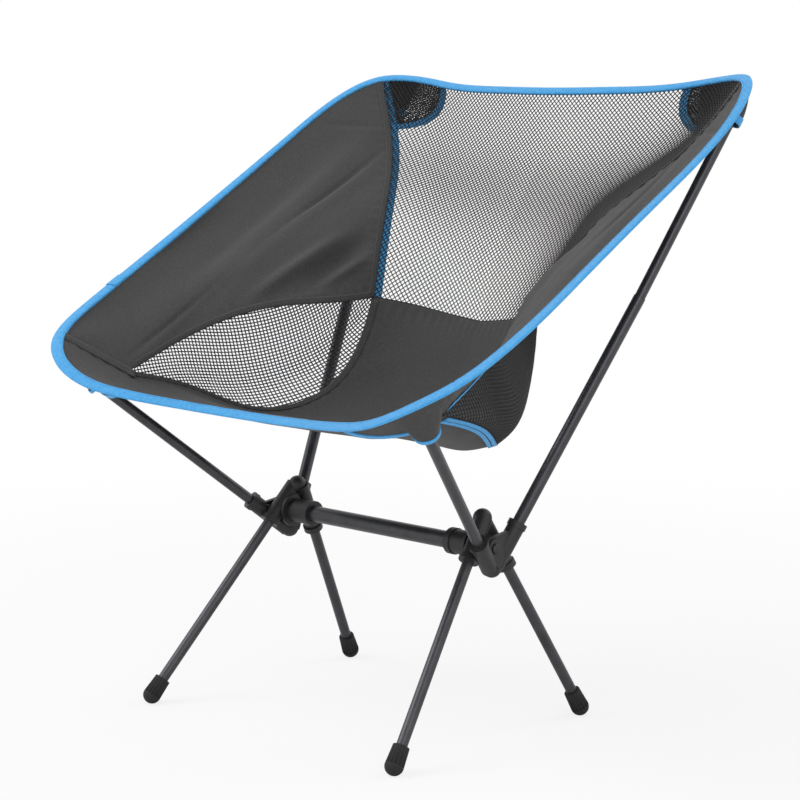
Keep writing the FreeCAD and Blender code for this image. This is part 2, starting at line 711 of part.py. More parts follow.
# ----------------------------------------------------------------------------------------------
# Seat poles, ferrules and tip caps
# ----------------------------------------------------------------------------------------------
def tip_cap(label, tip, heading, tube_radius):
    """Domed plug in the open end of a seat pole."""
    head, tall = mm("cap_dia") / 2, mm("cap_length")
    plug = tube_radius - mm("pole_wall") - mm("fit_gap")
    shoulder = tall - head
    diagonal = head * math.sqrt(0.5)
    outline = [(0, -mm("cap_insert")), (plug, -mm("cap_insert")), (plug, 0), (head, 0), (head, shoulder),
               (0, tall, diagonal, shoulder + diagonal)]
    keep(turned_body(label, outline, place(tip, heading)), label)


def ferrule(label, down, up, knee):
    """Sleeve inside both rear sections, a little bent at the join as the loaded pole is."""
    half_length = mm("ferrule_length") / 2
    set_size("ferrule_half", half_length)
    fits = {"low": "Sizes.rear_lower_dia / 2 - Sizes.pole_wall - Sizes.fit_gap",
            "high": "Sizes.rear_upper_dia / 2 - Sizes.pole_wall - Sizes.fit_gap"}
    walls = []
    for depth, trim in (("outer", ""), ("inner", " - Sizes.ferrule_wall")):
        walls.append(fused(f"{label}_{depth}", [
            cylinder(f"{label}_{depth}_low", fits["low"] + trim, "ferrule_half", place(knee, down)),
            cylinder(f"{label}_{depth}_high", fits["high"] + trim, "ferrule_half", place(knee, up)),
            ball(f"{label}_{depth}_knee", fits["high"] + trim, knee)]))
    keep(cut(label, walls[0], walls[1]), label)


def pocket(label, tip, heading, length):
    """Corner pocket: a closed cloth cone round the pole tip, with a taped mouth towards the hub."""
    wall, gap_in = mm("pocket_wall"), mm("layer_gap")
    wide, tight = mm("pocket_mouth_radius"), mm("pocket_tip_radius")
    mouth, floor = -mm(length), mm("cap_length") + gap_in
    outline = [(wide, mouth), (wide + wall, mouth), (tight + wall, floor + wall), (0, floor + wall),
               (0, floor), (tight, floor)]
    keep(turned_body(label, outline, place(tip, heading)), label)
    tape = place(tip + heading * mouth, heading)
    keep(tube_body(f"{label}_tape", "Sizes.pocket_mouth_radius + Sizes.pocket_wall + Sizes.layer_gap"
                   " + Sizes.tape_thick", "Sizes.pocket_mouth_radius + Sizes.pocket_wall + Sizes.layer_gap",
                   "pocket_tape_width", tape), f"{label}_tape")


UPPER_HEADING = unit(TIP_REAR - KNEE_REAR)
for word, side in SIDES:
    axis = flip_axis(AXES["pole_front"], side)
    start = tube_start(axis)
    set_size("pole_front_length", (axis["end"] - start).Length)
    keep(tube_body(f"pole_front_{word}", "Sizes.front_pole_dia / 2",
                   "Sizes.front_pole_dia / 2 - Sizes.pole_wall", "pole_front_length",
                   place(start, axis["heading"])), f"pole_front_{word}")
    tip_cap(f"tip_cap_front_{word}", axis["end"], axis["heading"], mm("front_pole_dia") / 2)
    pocket(f"pocket_front_{word}", axis["end"], axis["heading"], "pocket_front_length")
    cord_ends.append((f"pole_cord_front_{word}", axis, axis["end"] - axis["heading"] * mm("cap_insert")))

    axis = flip_axis(AXES["pole_rear"], side)
    start = tube_start(axis)
    set_size("rear_lower_length", (axis["end"] - start).Length)
    keep(tube_body(f"pole_rear_lower_{word}", "Sizes.rear_lower_dia / 2",
                   "Sizes.rear_lower_dia / 2 - Sizes.pole_wall", "rear_lower_length",
                   place(start, axis["heading"])), f"pole_rear_lower_{word}")
    upper = flip(UPPER_HEADING, side)
    knee = flip(KNEE_REAR, side) + upper * mm("seat_gap")
    tip = flip(TIP_REAR, side)
    set_size("rear_upper_length", (tip - knee).Length)
    keep(tube_body(f"pole_rear_upper_{word}", "Sizes.rear_upper_dia / 2",
                   "Sizes.rear_upper_dia / 2 - Sizes.pole_wall", "rear_upper_length",
                   place(knee, upper)), f"pole_rear_upper_{word}")
    ferrule(f"ferrule_{word}", axis["heading"] * -1, upper, flip(KNEE_REAR, side))
    tip_cap(f"tip_cap_rear_{word}", tip, upper, mm("rear_upper_dia") / 2)
    pocket(f"pocket_rear_{word}", tip, upper, "pocket_rear_length")
    cord_ends.append((f"pole_cord_rear_{word}", axis, axis["end"] - axis["heading"] * mm("ferrule_length")))


# ----------------------------------------------------------------------------------------------
# Shock cords: one straight length inside each tube, anchored at the floor of its socket
# ----------------------------------------------------------------------------------------------
def shock_cords(label, wanted):
    rods = []
    for name, axis, stop in cord_ends:
        if name.startswith(wanted):
            floor = axis["mouth"] - axis["heading"] * axis["depth"]
            set_size(f"{name}_length", (stop - floor).Length - mm("seat_gap"))
            rods.append(cylinder(name, "Sizes.cord_dia / 2", f"{name}_length", place(floor, axis["heading"])))
    group = doc.addObject("Part::Compound", label)
    group.Links = rods
    keep(group, label)


shock_cords("leg_shock_cords", "leg_cord")
shock_cords("pole_shock_cords", "pole_cord")

# ----------------------------------------------------------------------------------------------
# Check and write
# ----------------------------------------------------------------------------------------------
doc.recompute()
for obj in doc.Objects:
    if {"Invalid", "Error"} & set(obj.State):
        raise RuntimeError(f"{obj.Name} failed: {obj.State}")
for piece in parts:
    if piece.Shape.isNull() or not piece.Shape.isValid() or not piece.Shape.Solids:
        raise RuntimeError(f"{piece.Label} has no valid solid")
os.makedirs("parts", exist_ok=True)
for piece in parts:
    piece.Shape.exportStep(f"parts/{piece.Label}.step")
    print(f"{piece.Label:24} {len(piece.Shape.Solids)} solid(s), {piece.Shape.Volume / 1000:8.2f} cm3")
print(len(parts), "sub-parts; crossbar axis at y =", round(HUB_Y, 2))
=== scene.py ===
# %% [markdown]
# # An ultralight backpacking chair
# The chair is a hammock of black cloth and net, edged in blue tape and hung by its four corners on
# a plug-in tube frame. The tubes and hubs come in as a fixed frame, at their real size and place.
# This script sews the seat around them, gives every surface its finish and lights the result.
#
# %% Load the frame
import bpy
import bmesh
import json
import math
import numpy as np
from mathutils import Matrix, Vector, noise


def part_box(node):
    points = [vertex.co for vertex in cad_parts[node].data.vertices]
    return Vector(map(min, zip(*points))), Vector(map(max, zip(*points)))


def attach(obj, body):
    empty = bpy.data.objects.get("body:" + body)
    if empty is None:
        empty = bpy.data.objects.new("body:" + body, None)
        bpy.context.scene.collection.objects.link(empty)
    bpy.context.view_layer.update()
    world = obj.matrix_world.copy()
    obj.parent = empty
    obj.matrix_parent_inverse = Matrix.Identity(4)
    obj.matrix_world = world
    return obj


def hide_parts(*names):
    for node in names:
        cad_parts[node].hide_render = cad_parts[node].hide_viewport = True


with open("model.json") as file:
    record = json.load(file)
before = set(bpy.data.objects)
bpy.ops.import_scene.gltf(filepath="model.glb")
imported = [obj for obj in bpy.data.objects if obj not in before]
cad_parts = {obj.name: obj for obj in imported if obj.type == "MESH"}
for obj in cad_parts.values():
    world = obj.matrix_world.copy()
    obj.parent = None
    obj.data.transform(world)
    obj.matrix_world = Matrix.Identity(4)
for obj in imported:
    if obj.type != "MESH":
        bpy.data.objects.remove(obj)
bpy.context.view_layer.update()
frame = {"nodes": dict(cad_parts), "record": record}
MM = 0.001
bar_low, bar_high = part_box("crossbar_tube")
hub_y = (bar_low.y + bar_high.y) / 2 / MM
bar_z = (bar_low.z + bar_high.z) / 2 / MM
print("frame loaded, crossbar axis at y", round(hub_y, 1), "mm, z", round(bar_z, 1), "mm")

# %% [markdown]
# ## Camera
# A long lens from the front right, a little above the seat's edge. A long lens keeps the near and
# far hubs about the same size, which is how catalogue pictures of furniture are taken.
#
# %% Camera
AIM = (27.2, hub_y, 319.4)         # mm, the point the camera looks at
TURN, TILT = 44.6, 8.0             # degrees round the chair and above the floor
DISTANCE = 2266.0                  # mm
LENS = 102.16                      # mm, on a 36 mm sensor

turn, tilt = math.radians(TURN), math.radians(TILT)
back = Vector((math.sin(turn) * math.cos(tilt), -math.cos(turn) * math.cos(tilt), math.sin(tilt)))
camera_data = bpy.data.cameras.new("camera")
camera_data.lens = LENS
camera_data.sensor_width = 36.0
camera = bpy.data.objects.new("camera", camera_data)
camera.location = (Vector(AIM) + back * DISTANCE) * MM
camera.rotation_euler = back.to_track_quat("Z", "Y").to_euler()
bpy.context.scene.collection.objects.link(camera)
bpy.context.scene.camera = camera
print("camera at", [round(c, 2) for c in camera.location])


# %% [markdown]
# ## Helpers for colours and shader nodes
# Colours are written as the hex values a screen shows. A shader works in linear light, so one
# function converts them. A second function adds one shader node with its settings and its links.
#
# %% Colour and node helpers
def linear(hex_colour):
    """'#57B2E9' to linear red, green, blue and alpha."""
    values = [int(hex_colour[i:i + 2], 16) / 255 for i in (1, 3, 5)]
    return [v / 12.92 if v <= 0.04045 else ((v + 0.055) / 1.055) ** 2.4 for v in values] + [1.0]


def add_node(tree, kind, inputs=None, **settings):
    """One shader node: settings are its own properties, inputs are values or links to it."""
    node = tree.nodes.new(kind)
    for key, value in settings.items():
        setattr(node, key, value)
    for key, value in (inputs or {}).items():
        socket = node.inputs[key]
        if isinstance(value, bpy.types.NodeSocket):
            tree.links.new(value, socket)
        else:
            socket.default_value = value
    return node


def new_material(name):
    """An empty node material and its tree."""
    material = bpy.data.materials.new(name)
    material.use_nodes = True
    material.node_tree.nodes.clear()
    return material, material.node_tree


def finish_material(material, shader):
    """Link a shader to the output and hand the material back."""
    tree = material.node_tree
    add_node(tree, "ShaderNodeOutputMaterial", {"Surface": shader})
    print("material", material.name)
    return material


def ramp(node, *stops):
    """Set a colour ramp's stops from (position, hex colour or grey value)."""
    elements = node.color_ramp.elements
    while len(elements) < len(stops):
        elements.new(0.5)
    for element, (position, value) in zip(elements, stops):
        element.position = position
        element.color = linear(value) if isinstance(value, str) else [value, value, value, 1.0]
    return node


# %% [markdown]
# ## Seat shape
# The whole seat hangs from one closed outline. Inside it, four seams meet low on each side. Each
# panel is a soft patch stretched between its four edges, a Coons patch: the mean of two ruled
# surfaces less the twist at the corners. The points are in mm, from the crossbar's axis (y) and
# the ground (z), for the right half. The left half is their mirror image.
#
# %% Outline and seams of the right half
RIM = [(0, -175, 321), (90, -189, 325), (150, -207, 331), (205, -219, 341), (250, -214, 359),
       (278, -193, 377), (293, -140, 407), (295, -40, 464), (295, 60, 523), (295, 150, 577),
       (286, 209, 615), (256, 256, 640), (222, 273, 641), (160, 272, 633), (80, 266, 629),
       (0, 262, 628)]
RIM_AIM = [(0, -60, 285), (80, -60, 287), (130, -70, 292), (180, -90, 305), (215, -130, 335),
           (225, -120, 350), (218, -90, 368), (190, -10, 395), (140, 60, 403), (130, 115, 440),
           (165, 175, 520), (200, 215, 565), (190, 212, 556), (130, 190, 500), (65, 180, 480),
           (0, 175, 470)]
FRONT_CORNER, TOP_CORNER = 5, 11
NET_TIP = (222, -146, 339)
SEAM_MEET = (116, 105, 406)
SEAM_BACK = [(205, 222, 565), (150, 157, 495)]
SEAM_LUMBAR = [(0, 148, 385), (42, 145, 390), (81, 132, 398)]
SEAM_UPPER = [(207, -70, 374), (168, 5, 399), (130, 66, 403)]
SEAM_LOWER = [(206, -66, 315), (172, -16, 293), (124, 44, 313), (113, 78, 354)]
BOWL_MIDDLE = np.array((0, 40, 480.0))
BINDING_WIDTH = 9.0
print(len(RIM), "outline points")


# %% A smooth curve through points
def cubic(points, closed=False):
    """Cubic spline through points, spaced by the distance between them: knots and evaluator."""
    p = np.array(points, float)
    if closed:
        p = np.vstack([p, p[:1]])
    knots = np.concatenate([[0], np.cumsum(np.linalg.norm(np.diff(p, axis=0), axis=1))])
    gap = np.diff(knots)
    slope = np.diff(p, axis=0) / gap[:, None]
    size = len(p)
    matrix, right = np.zeros((size, size)), np.zeros((size, 3))
    for i in range(1, size - 1):
        matrix[i, i - 1:i + 2] = gap[i - 1], 2 * (gap[i - 1] + gap[i]), gap[i]
        right[i] = 6 * (slope[i] - slope[i - 1])
    if closed:
        matrix[0, [0, 1, -2, -1]] = 2 * gap[0], gap[0], gap[-1], 2 * gap[-1]
        right[0] = 6 * (slope[0] - slope[-1])
        matrix[-1, [0, -1]] = 1, -1
    else:
        matrix[0, 0] = matrix[-1, -1] = 1
    bend = np.linalg.solve(matrix, right)

    def value(where):
        t = np.clip(np.asarray(where, float), knots[0], knots[-1])
        i = np.clip(np.searchsorted(knots, t, side="right") - 1, 0, size - 2)
        h, a, b = gap[i], knots[i + 1] - t, t - knots[i]
        first = (bend[i] * (a ** 3)[..., None] + bend[i + 1] * (b ** 3)[..., None]) / (6 * h)[..., None]
        low = (p[i] / h[..., None] - bend[i] * h[..., None] / 6) * a[..., None]
        high = (p[i + 1] / h[..., None] - bend[i + 1] * h[..., None] / 6) * b[..., None]
        return first + low + high
    return knots, value


def run(points, samples=400):
    """The same curve as a function of the share of its length, from 0 to 1."""
    knots, value = cubic(points)
    line = value(np.linspace(0, knots[-1], samples))
    lengths = np.concatenate([[0], np.cumsum(np.linalg.norm(np.diff(line, axis=0), axis=1))])

    def at(share):
        where = np.asarray(share, float) * lengths[-1]
        return np.stack([np.interp(where, lengths, line[:, k]) for k in range(3)], -1)
    at.length = lengths[-1]
    return at


def flipped(points):
    """Mirror image of points across the chair's middle."""
    return np.asarray(points, float) * (-1, 1, 1)


# %% The outline, and points set in from it
rim_knots, rim_value = cubic(RIM + [tuple(flipped(p)) for p in RIM[-2:0:-1]], closed=True)
RIM_WHOLE = rim_knots[-1]
half_knots = rim_knots[:len(RIM)]
aims = np.array(RIM_AIM, float) - np.array(RIM, float)


def rim_heading(knot):
    """Unit direction from the outline into the cloth, on the right half."""
    heading = np.stack([np.interp(knot, half_knots, aims[:, k]) for k in range(3)], -1)
    return heading / np.linalg.norm(heading, axis=-1, keepdims=True)


def rim_at(knot, inset=0.0):
    """Points of the whole outline, moved by inset mm into the cloth."""
    knot = np.asarray(knot, float) % RIM_WHOLE
    left = knot > RIM_WHOLE / 2
    near = np.where(left, RIM_WHOLE - knot, knot)
    point = rim_value(near) + rim_heading(near) * np.asarray(inset, float)[..., None]
    return np.where(left[..., None], flipped(point), point)


def rim_run(first, last, inset):
    """Stretch of the right half between two of its points, as a function of share."""
    low, high = half_knots[first], half_knots[last]
    return lambda share: rim_at(low + (high - low) * np.asarray(share, float), inset)


print("outline is", round(RIM_WHOLE), "mm round")


# %% Panels as functions of across and along
def both_halves(right):
    """A run over both halves: share 0.5 is the middle of the chair, 1 its right end."""
    def at(share):
        share = np.asarray(share, float)
        point = right(np.abs(2 * share - 1))
        return np.where((share < 0.5)[..., None], flipped(point), point)
    return at


def patch(south, north, west, east, bulge=(0, 0, 0), peak=1.0):
    """Coons patch between four runs; bulge pushes it out by that many mm, past the middle if peak > 1."""
    def at(u, v):
        u, v = np.broadcast_arrays(np.asarray(u, float), np.asarray(v, float))
        a, b = u[..., None], v[..., None]
        ruled = south(u) * (1 - b) + north(u) * b + west(v) * (1 - a) + east(v) * a
        twist = (south(0) * (1 - a) + south(1) * a) * (1 - b) + (north(0) * (1 - a) + north(1) * a) * b
        swell = np.sin(np.pi * u ** peak) * np.sin(np.pi * v ** peak)
        return ruled - twist + np.array(bulge) * swell[..., None]
    return at


def constant(point):
    return lambda share: np.broadcast_to(np.array(point, float), np.shape(share) + (3,))


def reversed_run(way):
    return lambda share: way(1 - np.asarray(share, float))


def joined(first, second, middle):
    """Two runs end to end: the first up to share middle, then the second."""
    def at(share):
        share = np.asarray(share, float)
        low = first(np.clip(share / middle, 0, 1))
        high = second(np.clip((share - middle) / (1 - middle), 0, 1))
        return np.where((share < middle)[..., None], low, high)
    return at


EDGE_IN = BINDING_WIDTH - 2.0      # the cloth runs on under the binding by this much less
top_corner = rim_at(half_knots[TOP_CORNER], EDGE_IN)
front_corner = rim_at(half_knots[FRONT_CORNER], EDGE_IN)
back_seam = run([top_corner] + SEAM_BACK + [SEAM_MEET])
lumbar_seam = both_halves(run(SEAM_LUMBAR + [SEAM_MEET]))
tab_seam = run([front_corner, (front_corner + NET_TIP) / 2, NET_TIP])
upper_seam = run([NET_TIP] + SEAM_UPPER + [SEAM_MEET])
lower_seam = run([NET_TIP] + SEAM_LOWER + [SEAM_MEET])
SIDE_TAB, SEAT_TAB = 6 / 26, 0.2   # share of each panel's edge that the short tab seam takes
side_foot = joined(tab_seam, upper_seam, SIDE_TAB)
seat_side = joined(tab_seam, lower_seam, SEAT_TAB)

SEAT_CROWN, NET_BULGE = 21.0, 25.0
NET_SAG = np.array((0.84, 0.46, -0.22))
seat_patch = patch(both_halves(rim_run(0, FRONT_CORNER, EDGE_IN)), lumbar_seam,
                   lambda v: flipped(seat_side(v)), seat_side, bulge=(0, 0, SEAT_CROWN))
back_patch = patch(lumbar_seam, both_halves(reversed_run(rim_run(TOP_CORNER, len(RIM) - 1, EDGE_IN))),
                   lambda v: flipped(back_seam(1 - np.asarray(v))), reversed_run(back_seam))
side_patch = patch(rim_run(FRONT_CORNER, TOP_CORNER, EDGE_IN), side_foot, constant(front_corner), back_seam)
net_patch = patch(upper_seam, lower_seam, constant(NET_TIP), constant(SEAM_MEET),
                  bulge=NET_SAG * NET_BULGE, peak=1.5)
print("seat, back, side and side-net patches ready")


# %% Surface directions, and from millimetres to the scene
STEP = 0.004                       # share of a patch used to measure its slope
SHIFT = np.array((0.0, hub_y, 0.0))


def into_bowl(way, u, v):
    """Unit normals of a patch at shares u, v, on the side that the sitter touches."""
    u, v = np.broadcast_arrays(np.asarray(u, float), np.asarray(v, float))
    a, b = np.clip(u, 2 * STEP, 1 - 2 * STEP), np.clip(v, 2 * STEP, 1 - 2 * STEP)
    face = np.cross(way(a + STEP, b) - way(a - STEP, b), way(a, b + STEP) - way(a, b - STEP))
    face = face / np.linalg.norm(face, axis=-1, keepdims=True)
    middle = np.cross(way(0.5 + STEP, 0.5) - way(0.5 - STEP, 0.5), way(0.5, 0.5 + STEP) - way(0.5, 0.5 - STEP))
    return face if middle @ (BOWL_MIDDLE - way(0.5, 0.5)) > 0 else -face


def unit(vectors):
    return vectors / np.linalg.norm(vectors, axis=-1, keepdims=True)


def in_scene(points):
    """Millimetres from the crossbar to metres in the scene."""
    return (np.asarray(points) + SHIFT) * MM


def to_side(points, side):
    return flipped(points) if side < 0 else points


SIDES = (("left", -1), ("right", 1))


# %% [markdown]
# ## Cloth and net finishes
# The solid panels are black 600-denier polyester, a plain weave with a dry, slightly fuzzy face. Its
# threads are about 0.5 mm apart, too fine to draw at this distance, so the weave is drawn coarser.
# A weave is two crossing waves: where the lengthwise thread is on top, the crosswise one is under.
#
# %% Polyester cloth
CLOTH_PITCH = 1.7                  # mm, three times the real spacing so that it still shows
CLOTH_BLACK, CLOTH_WORN = "#424242", "#4B4A49"


def thread_wave(tree, axis_value, pitch_mm):
    """A wave from -1 to 1 along one coordinate, in metres, with the given pitch."""
    turns = add_node(tree, "ShaderNodeMath", {0: axis_value, 1: 2 * math.pi / (pitch_mm * MM)},
                     operation="MULTIPLY")
    return add_node(tree, "ShaderNodeMath", {0: turns.outputs[0]}, operation="SINE").outputs[0]


def weave_height(tree, pitch_mm, ratio=1.0):
    """Plain weave from the cloth's own UV map: the product of two waves, from 0 to 1."""
    uv = add_node(tree, "ShaderNodeUVMap", uv_map="cloth")
    axes = add_node(tree, "ShaderNodeSeparateXYZ", {"Vector": uv.outputs["UV"]})
    warp = thread_wave(tree, axes.outputs["X"], pitch_mm)
    weft = thread_wave(tree, axes.outputs["Y"], pitch_mm * ratio)
    crossing = add_node(tree, "ShaderNodeMath", {0: warp, 1: weft}, operation="MULTIPLY")
    return add_node(tree, "ShaderNodeMath", {0: crossing.outputs[0], 1: 0.5, 2: 0.5},
                    operation="MULTIPLY_ADD").outputs[0]


def polyester_cloth():
    """Woven, dyed, uncoated on the face: no gloss, a faint fuzz at grazing angles."""
    material, tree = new_material("polyester_cloth")
    weave = weave_height(tree, CLOTH_PITCH)
    place = add_node(tree, "ShaderNodeTexCoord")
    slubs = add_node(tree, "ShaderNodeTexNoise", {"Vector": place.outputs["Object"], "Scale": 420.0,
                                                  "Detail": 4.0, "Roughness": 0.7})
    patches = add_node(tree, "ShaderNodeTexNoise", {"Vector": place.outputs["Object"], "Scale": 14.0,
                                                    "Detail": 3.0})
    tone = add_node(tree, "ShaderNodeMix", {"Factor": 0.5, "A": weave, "B": slubs.outputs["Fac"]},
                    data_type="FLOAT")
    colours = ramp(add_node(tree, "ShaderNodeValToRGB", {"Fac": tone.outputs[0]}),
                   (0.25, "#2B2B2B"), (0.5, CLOTH_BLACK), (0.75, "#616060"))
    wear = add_node(tree, "ShaderNodeMath", {0: patches.outputs["Fac"], 1: 0.6}, operation="MULTIPLY")
    worn = add_node(tree, "ShaderNodeMix", {"Factor": wear.outputs[0], "A": colours.outputs[0],
                                            "B": linear(CLOTH_WORN)}, data_type="RGBA")
    rough = add_node(tree, "ShaderNodeMapRange", {"Value": slubs.outputs["Fac"], "To Min": 0.72,
                                                  "To Max": 0.9})
    bump = add_node(tree, "ShaderNodeBump", {"Height": tone.outputs[0], "Strength": 0.8,
                                             "Distance": 0.0005})
    shader = add_node(tree, "ShaderNodeBsdfPrincipled",
                      {"Base Color": worn.outputs[2], "Roughness": rough.outputs[0],
                       "Normal": bump.outputs[0], "Sheen Weight": 0.12, "Sheen Roughness": 0.4,
                       "Specular IOR Level": 0.3})
    return finish_material(material, shader.outputs[0])


cloth_finish = polyester_cloth()


# %% Polyester net, thread and blue tape
def polyester_net():
    """Warp-knitted net: round black yarns with a faint sheen along each thread."""
    material, tree = new_material("polyester_net")
    place = add_node(tree, "ShaderNodeTexCoord")
    fibres = add_node(tree, "ShaderNodeTexNoise", {"Vector": place.outputs["Object"], "Scale": 900.0,
                                                   "Detail": 2.0})
    colours = ramp(add_node(tree, "ShaderNodeValToRGB", {"Fac": fibres.outputs["Fac"]}),
                   (0.3, "#161617"), (0.7, "#29292B"))
    bump = add_node(tree, "ShaderNodeBump", {"Height": fibres.outputs["Fac"], "Strength": 0.3,
                                             "Distance": 0.0003})
    shader = add_node(tree, "ShaderNodeBsdfPrincipled",
                      {"Base Color": colours.outputs[0], "Roughness": 0.6, "Normal": bump.outputs[0],
                       "Sheen Weight": 0.1})
    return finish_material(material, shader.outputs[0])


TAPE_PITCH = 1.6                   # mm between the tape's ribs, drawn twice as coarse as woven


def woven_tape(name, dark, mid, light):
    """Ribbed binding tape, woven from bright filament yarn: a soft sheen and a fine rib across."""
    material, tree = new_material(name)
    ribs = weave_height(tree, TAPE_PITCH, ratio=0.7)
    place = add_node(tree, "ShaderNodeTexCoord")
    fuzz = add_node(tree, "ShaderNodeTexNoise", {"Vector": place.outputs["Object"], "Scale": 260.0,
                                                 "Detail": 5.0, "Roughness": 0.75})
    tone = add_node(tree, "ShaderNodeMix", {"Factor": 0.6, "A": ribs, "B": fuzz.outputs["Fac"]},
                    data_type="FLOAT")
    colours = ramp(add_node(tree, "ShaderNodeValToRGB", {"Fac": tone.outputs[0]}),
                   (0.25, dark), (0.5, mid), (0.8, light))
    bump = add_node(tree, "ShaderNodeBump", {"Height": tone.outputs[0], "Strength": 0.8,
                                             "Distance": 0.0004})
    shader = add_node(tree, "ShaderNodeBsdfPrincipled",
                      {"Base Color": colours.outputs[0], "Roughness": 0.62, "Normal": bump.outputs[0],
                       "Sheen Weight": 0.15, "Specular IOR Level": 0.35})
    return finish_material(material, shader.outputs[0])


net_finish = polyester_net()
tape_finish = woven_tape("blue_tape", "#2585CE", "#42A8EA", "#6DC9FA")
thread_finish = woven_tape("black_thread", "#121213", "#1B1B1C", "#2A2A2B")
blue_thread_finish = woven_tape("blue_thread", "#2678B4", "#348FD0", "#58AEE8")


# %% [markdown]
# ## Frame finishes
# The tubes are drawn aluminium, anodised black: a hard dyed skin with a satin shine and faint lines
# along the tube. The hubs are moulded glass-filled nylon with a fine spark-eroded grain. The feet
# are black rubber, dull and a little dusty. These stay on the frame's own meshes.
#
# %% Anodised tube, nylon, rubber and steel
def grained(name, dark, light, scale, detail, rough_low, rough_high, bump, depth, **sockets):
    """A finish with one noise that drives colour, roughness and bump; sockets go on the shader."""
    material, tree = new_material(name)
    place = add_node(tree, "ShaderNodeTexCoord")
    grain = add_node(tree, "ShaderNodeTexNoise", {"Vector": place.outputs["Object"], "Scale": scale,
                                                  "Detail": detail, "Roughness": 0.6})
    colours = ramp(add_node(tree, "ShaderNodeValToRGB", {"Fac": grain.outputs["Fac"]}),
                   (0.3, dark), (0.7, light))
    rough = add_node(tree, "ShaderNodeMapRange", {"Value": grain.outputs["Fac"], "From Min": 0.3,
                                                  "From Max": 0.7, "To Min": rough_low,
                                                  "To Max": rough_high})
    relief = add_node(tree, "ShaderNodeBump", {"Height": grain.outputs["Fac"], "Strength": bump,
                                               "Distance": depth * MM})
    inputs = {"Base Color": colours.outputs[0], "Roughness": rough.outputs[0],
              "Normal": relief.outputs[0]}
    inputs.update({key.replace("_", " "): value for key, value in sockets.items()})
    shader = add_node(tree, "ShaderNodeBsdfPrincipled", inputs)
    return finish_material(material, shader.outputs[0])


frame_finishes = {
    "anodised_tube": grained("anodised_tube", "#3E3E41", "#4C4C50", 60.0, 6.0, 0.30, 0.40, 0.02, 0.02,
                             Metallic=0.55),
    "moulded_nylon": grained("moulded_nylon", "#1B1B1C", "#262627", 1400.0, 2.0, 0.42, 0.58, 0.35, 0.08),
    "foot_rubber": grained("foot_rubber", "#1C1C1C", "#2A2A29", 500.0, 4.0, 0.6, 0.8, 0.3, 0.1,
                           Specular_IOR_Level=0.35),
    "rivet_steel": grained("rivet_steel", "#3A3A3C", "#4A4A4C", 300.0, 3.0, 0.3, 0.45, 0.1, 0.05,
                           Metallic=0.9),
    "ferrule_alloy": grained("ferrule_alloy", "#9A9A9C", "#B0B0B2", 200.0, 3.0, 0.3, 0.4, 0.1, 0.05,
                             Metallic=1.0),
    "shock_cord": grained("shock_cord", "#202020", "#3A3A3A", 900.0, 2.0, 0.7, 0.85, 0.5, 0.2),
}


# %% Give each frame node its finish
node_slots = {part["node"]: part["material_slot"] for part in frame["record"]["subparts"]}
seat_finishes = {"polyester_cloth": cloth_finish, "polyester_net": net_finish, "blue_tape": tape_finish}
for node_name, node in frame["nodes"].items():
    slot_name = node_slots[node_name]
    finish = frame_finishes.get(slot_name) or seat_finishes[slot_name]
    node.data.materials.clear()
    node.data.materials.append(finish)
print(len(frame["nodes"]), "frame nodes finished")


# %% [markdown]
# ## Sewing helpers
# Every soft piece starts as a flat grid, like cloth on a table, and each of its corners is moved to
# the place that a function gives it. The flat position is kept as a UV map in metres, so a weave
# runs with the cloth however it is bent. A Solidify modifier then gives the sheet its thickness.
#
# %% Objects and grids
def new_object(name, bm, finish, smooth=True):
    """Turn a bmesh into an object that rides with the seat."""
    mesh = bpy.data.meshes.new(name)
    bm.normal_update()
    bm.to_mesh(mesh)
    bm.free()
    mesh.materials.append(finish)
    if smooth:
        mesh.shade_smooth()
    piece = bpy.data.objects.new(name, mesh)
    bpy.context.scene.collection.objects.link(piece)
    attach(piece, "seat")
    print(f"{name}: {len(mesh.polygons)} faces")
    return piece


def flat_grid(across, along):
    """A square grid from 0 to 1 each way, with each vertex's two shares."""
    bm = bmesh.new()
    bmesh.ops.create_grid(bm, x_segments=across, y_segments=along, size=0.5)
    shares = np.array([v.co[:2] for v in bm.verts]) + 0.5
    return bm, np.clip(shares, 0, 1)


def lay_out(bm, points, flat):
    """Move the vertices to points (mm) and store flat (mm) as the cloth's UV map in metres."""
    layer = bm.loops.layers.uv.new("cloth")
    bm.verts.ensure_lookup_table()
    for vert, point in zip(bm.verts, in_scene(points)):
        vert.co = point
    for face in bm.faces:
        for loop in face.loops:
            loop[layer].uv = flat[loop.vert.index] * MM


def thicken(piece, thick, offset=0.0):
    wall = piece.modifiers.new("thickness", "SOLIDIFY")
    wall.thickness = thick * MM
    wall.offset = offset
    wall.use_rim = True
    return wall


def length_of(points):
    return float(np.linalg.norm(np.diff(points, axis=0), axis=1).sum())


# %% Soft undulation of cloth
def ripple(points, size_mm, seed):
    """Smooth noise from about -1 to 1 at points, with features of the given size."""
    return np.array([noise.noise(Vector(p) / size_mm + Vector((seed, 0, 0))) for p in points])


def ridge(points, first, last, width, height):
    """A soft fold along the straight line from first to last, fading at both ends."""
    first, last = np.array(first, float), np.array(last, float)
    line = last - first
    along = np.clip((points - first) @ line / (line @ line), 0, 1)
    gap = np.linalg.norm(points - first - along[:, None] * line, axis=1)
    return height * np.exp(-(gap / width) ** 2) * np.sin(np.pi * np.clip(along, 0.02, 0.98)) ** 0.7


def pucker(gap, run_mm, reach=8.0, pitch=9.0, height=1.2):
    """Little gathers beside a stitched seam, fading with the distance from it."""
    beat = np.sin(2 * np.pi * run_mm / pitch + 1.7 * np.sin(run_mm / 23.0))
    return height * np.exp(-gap / reach) * beat


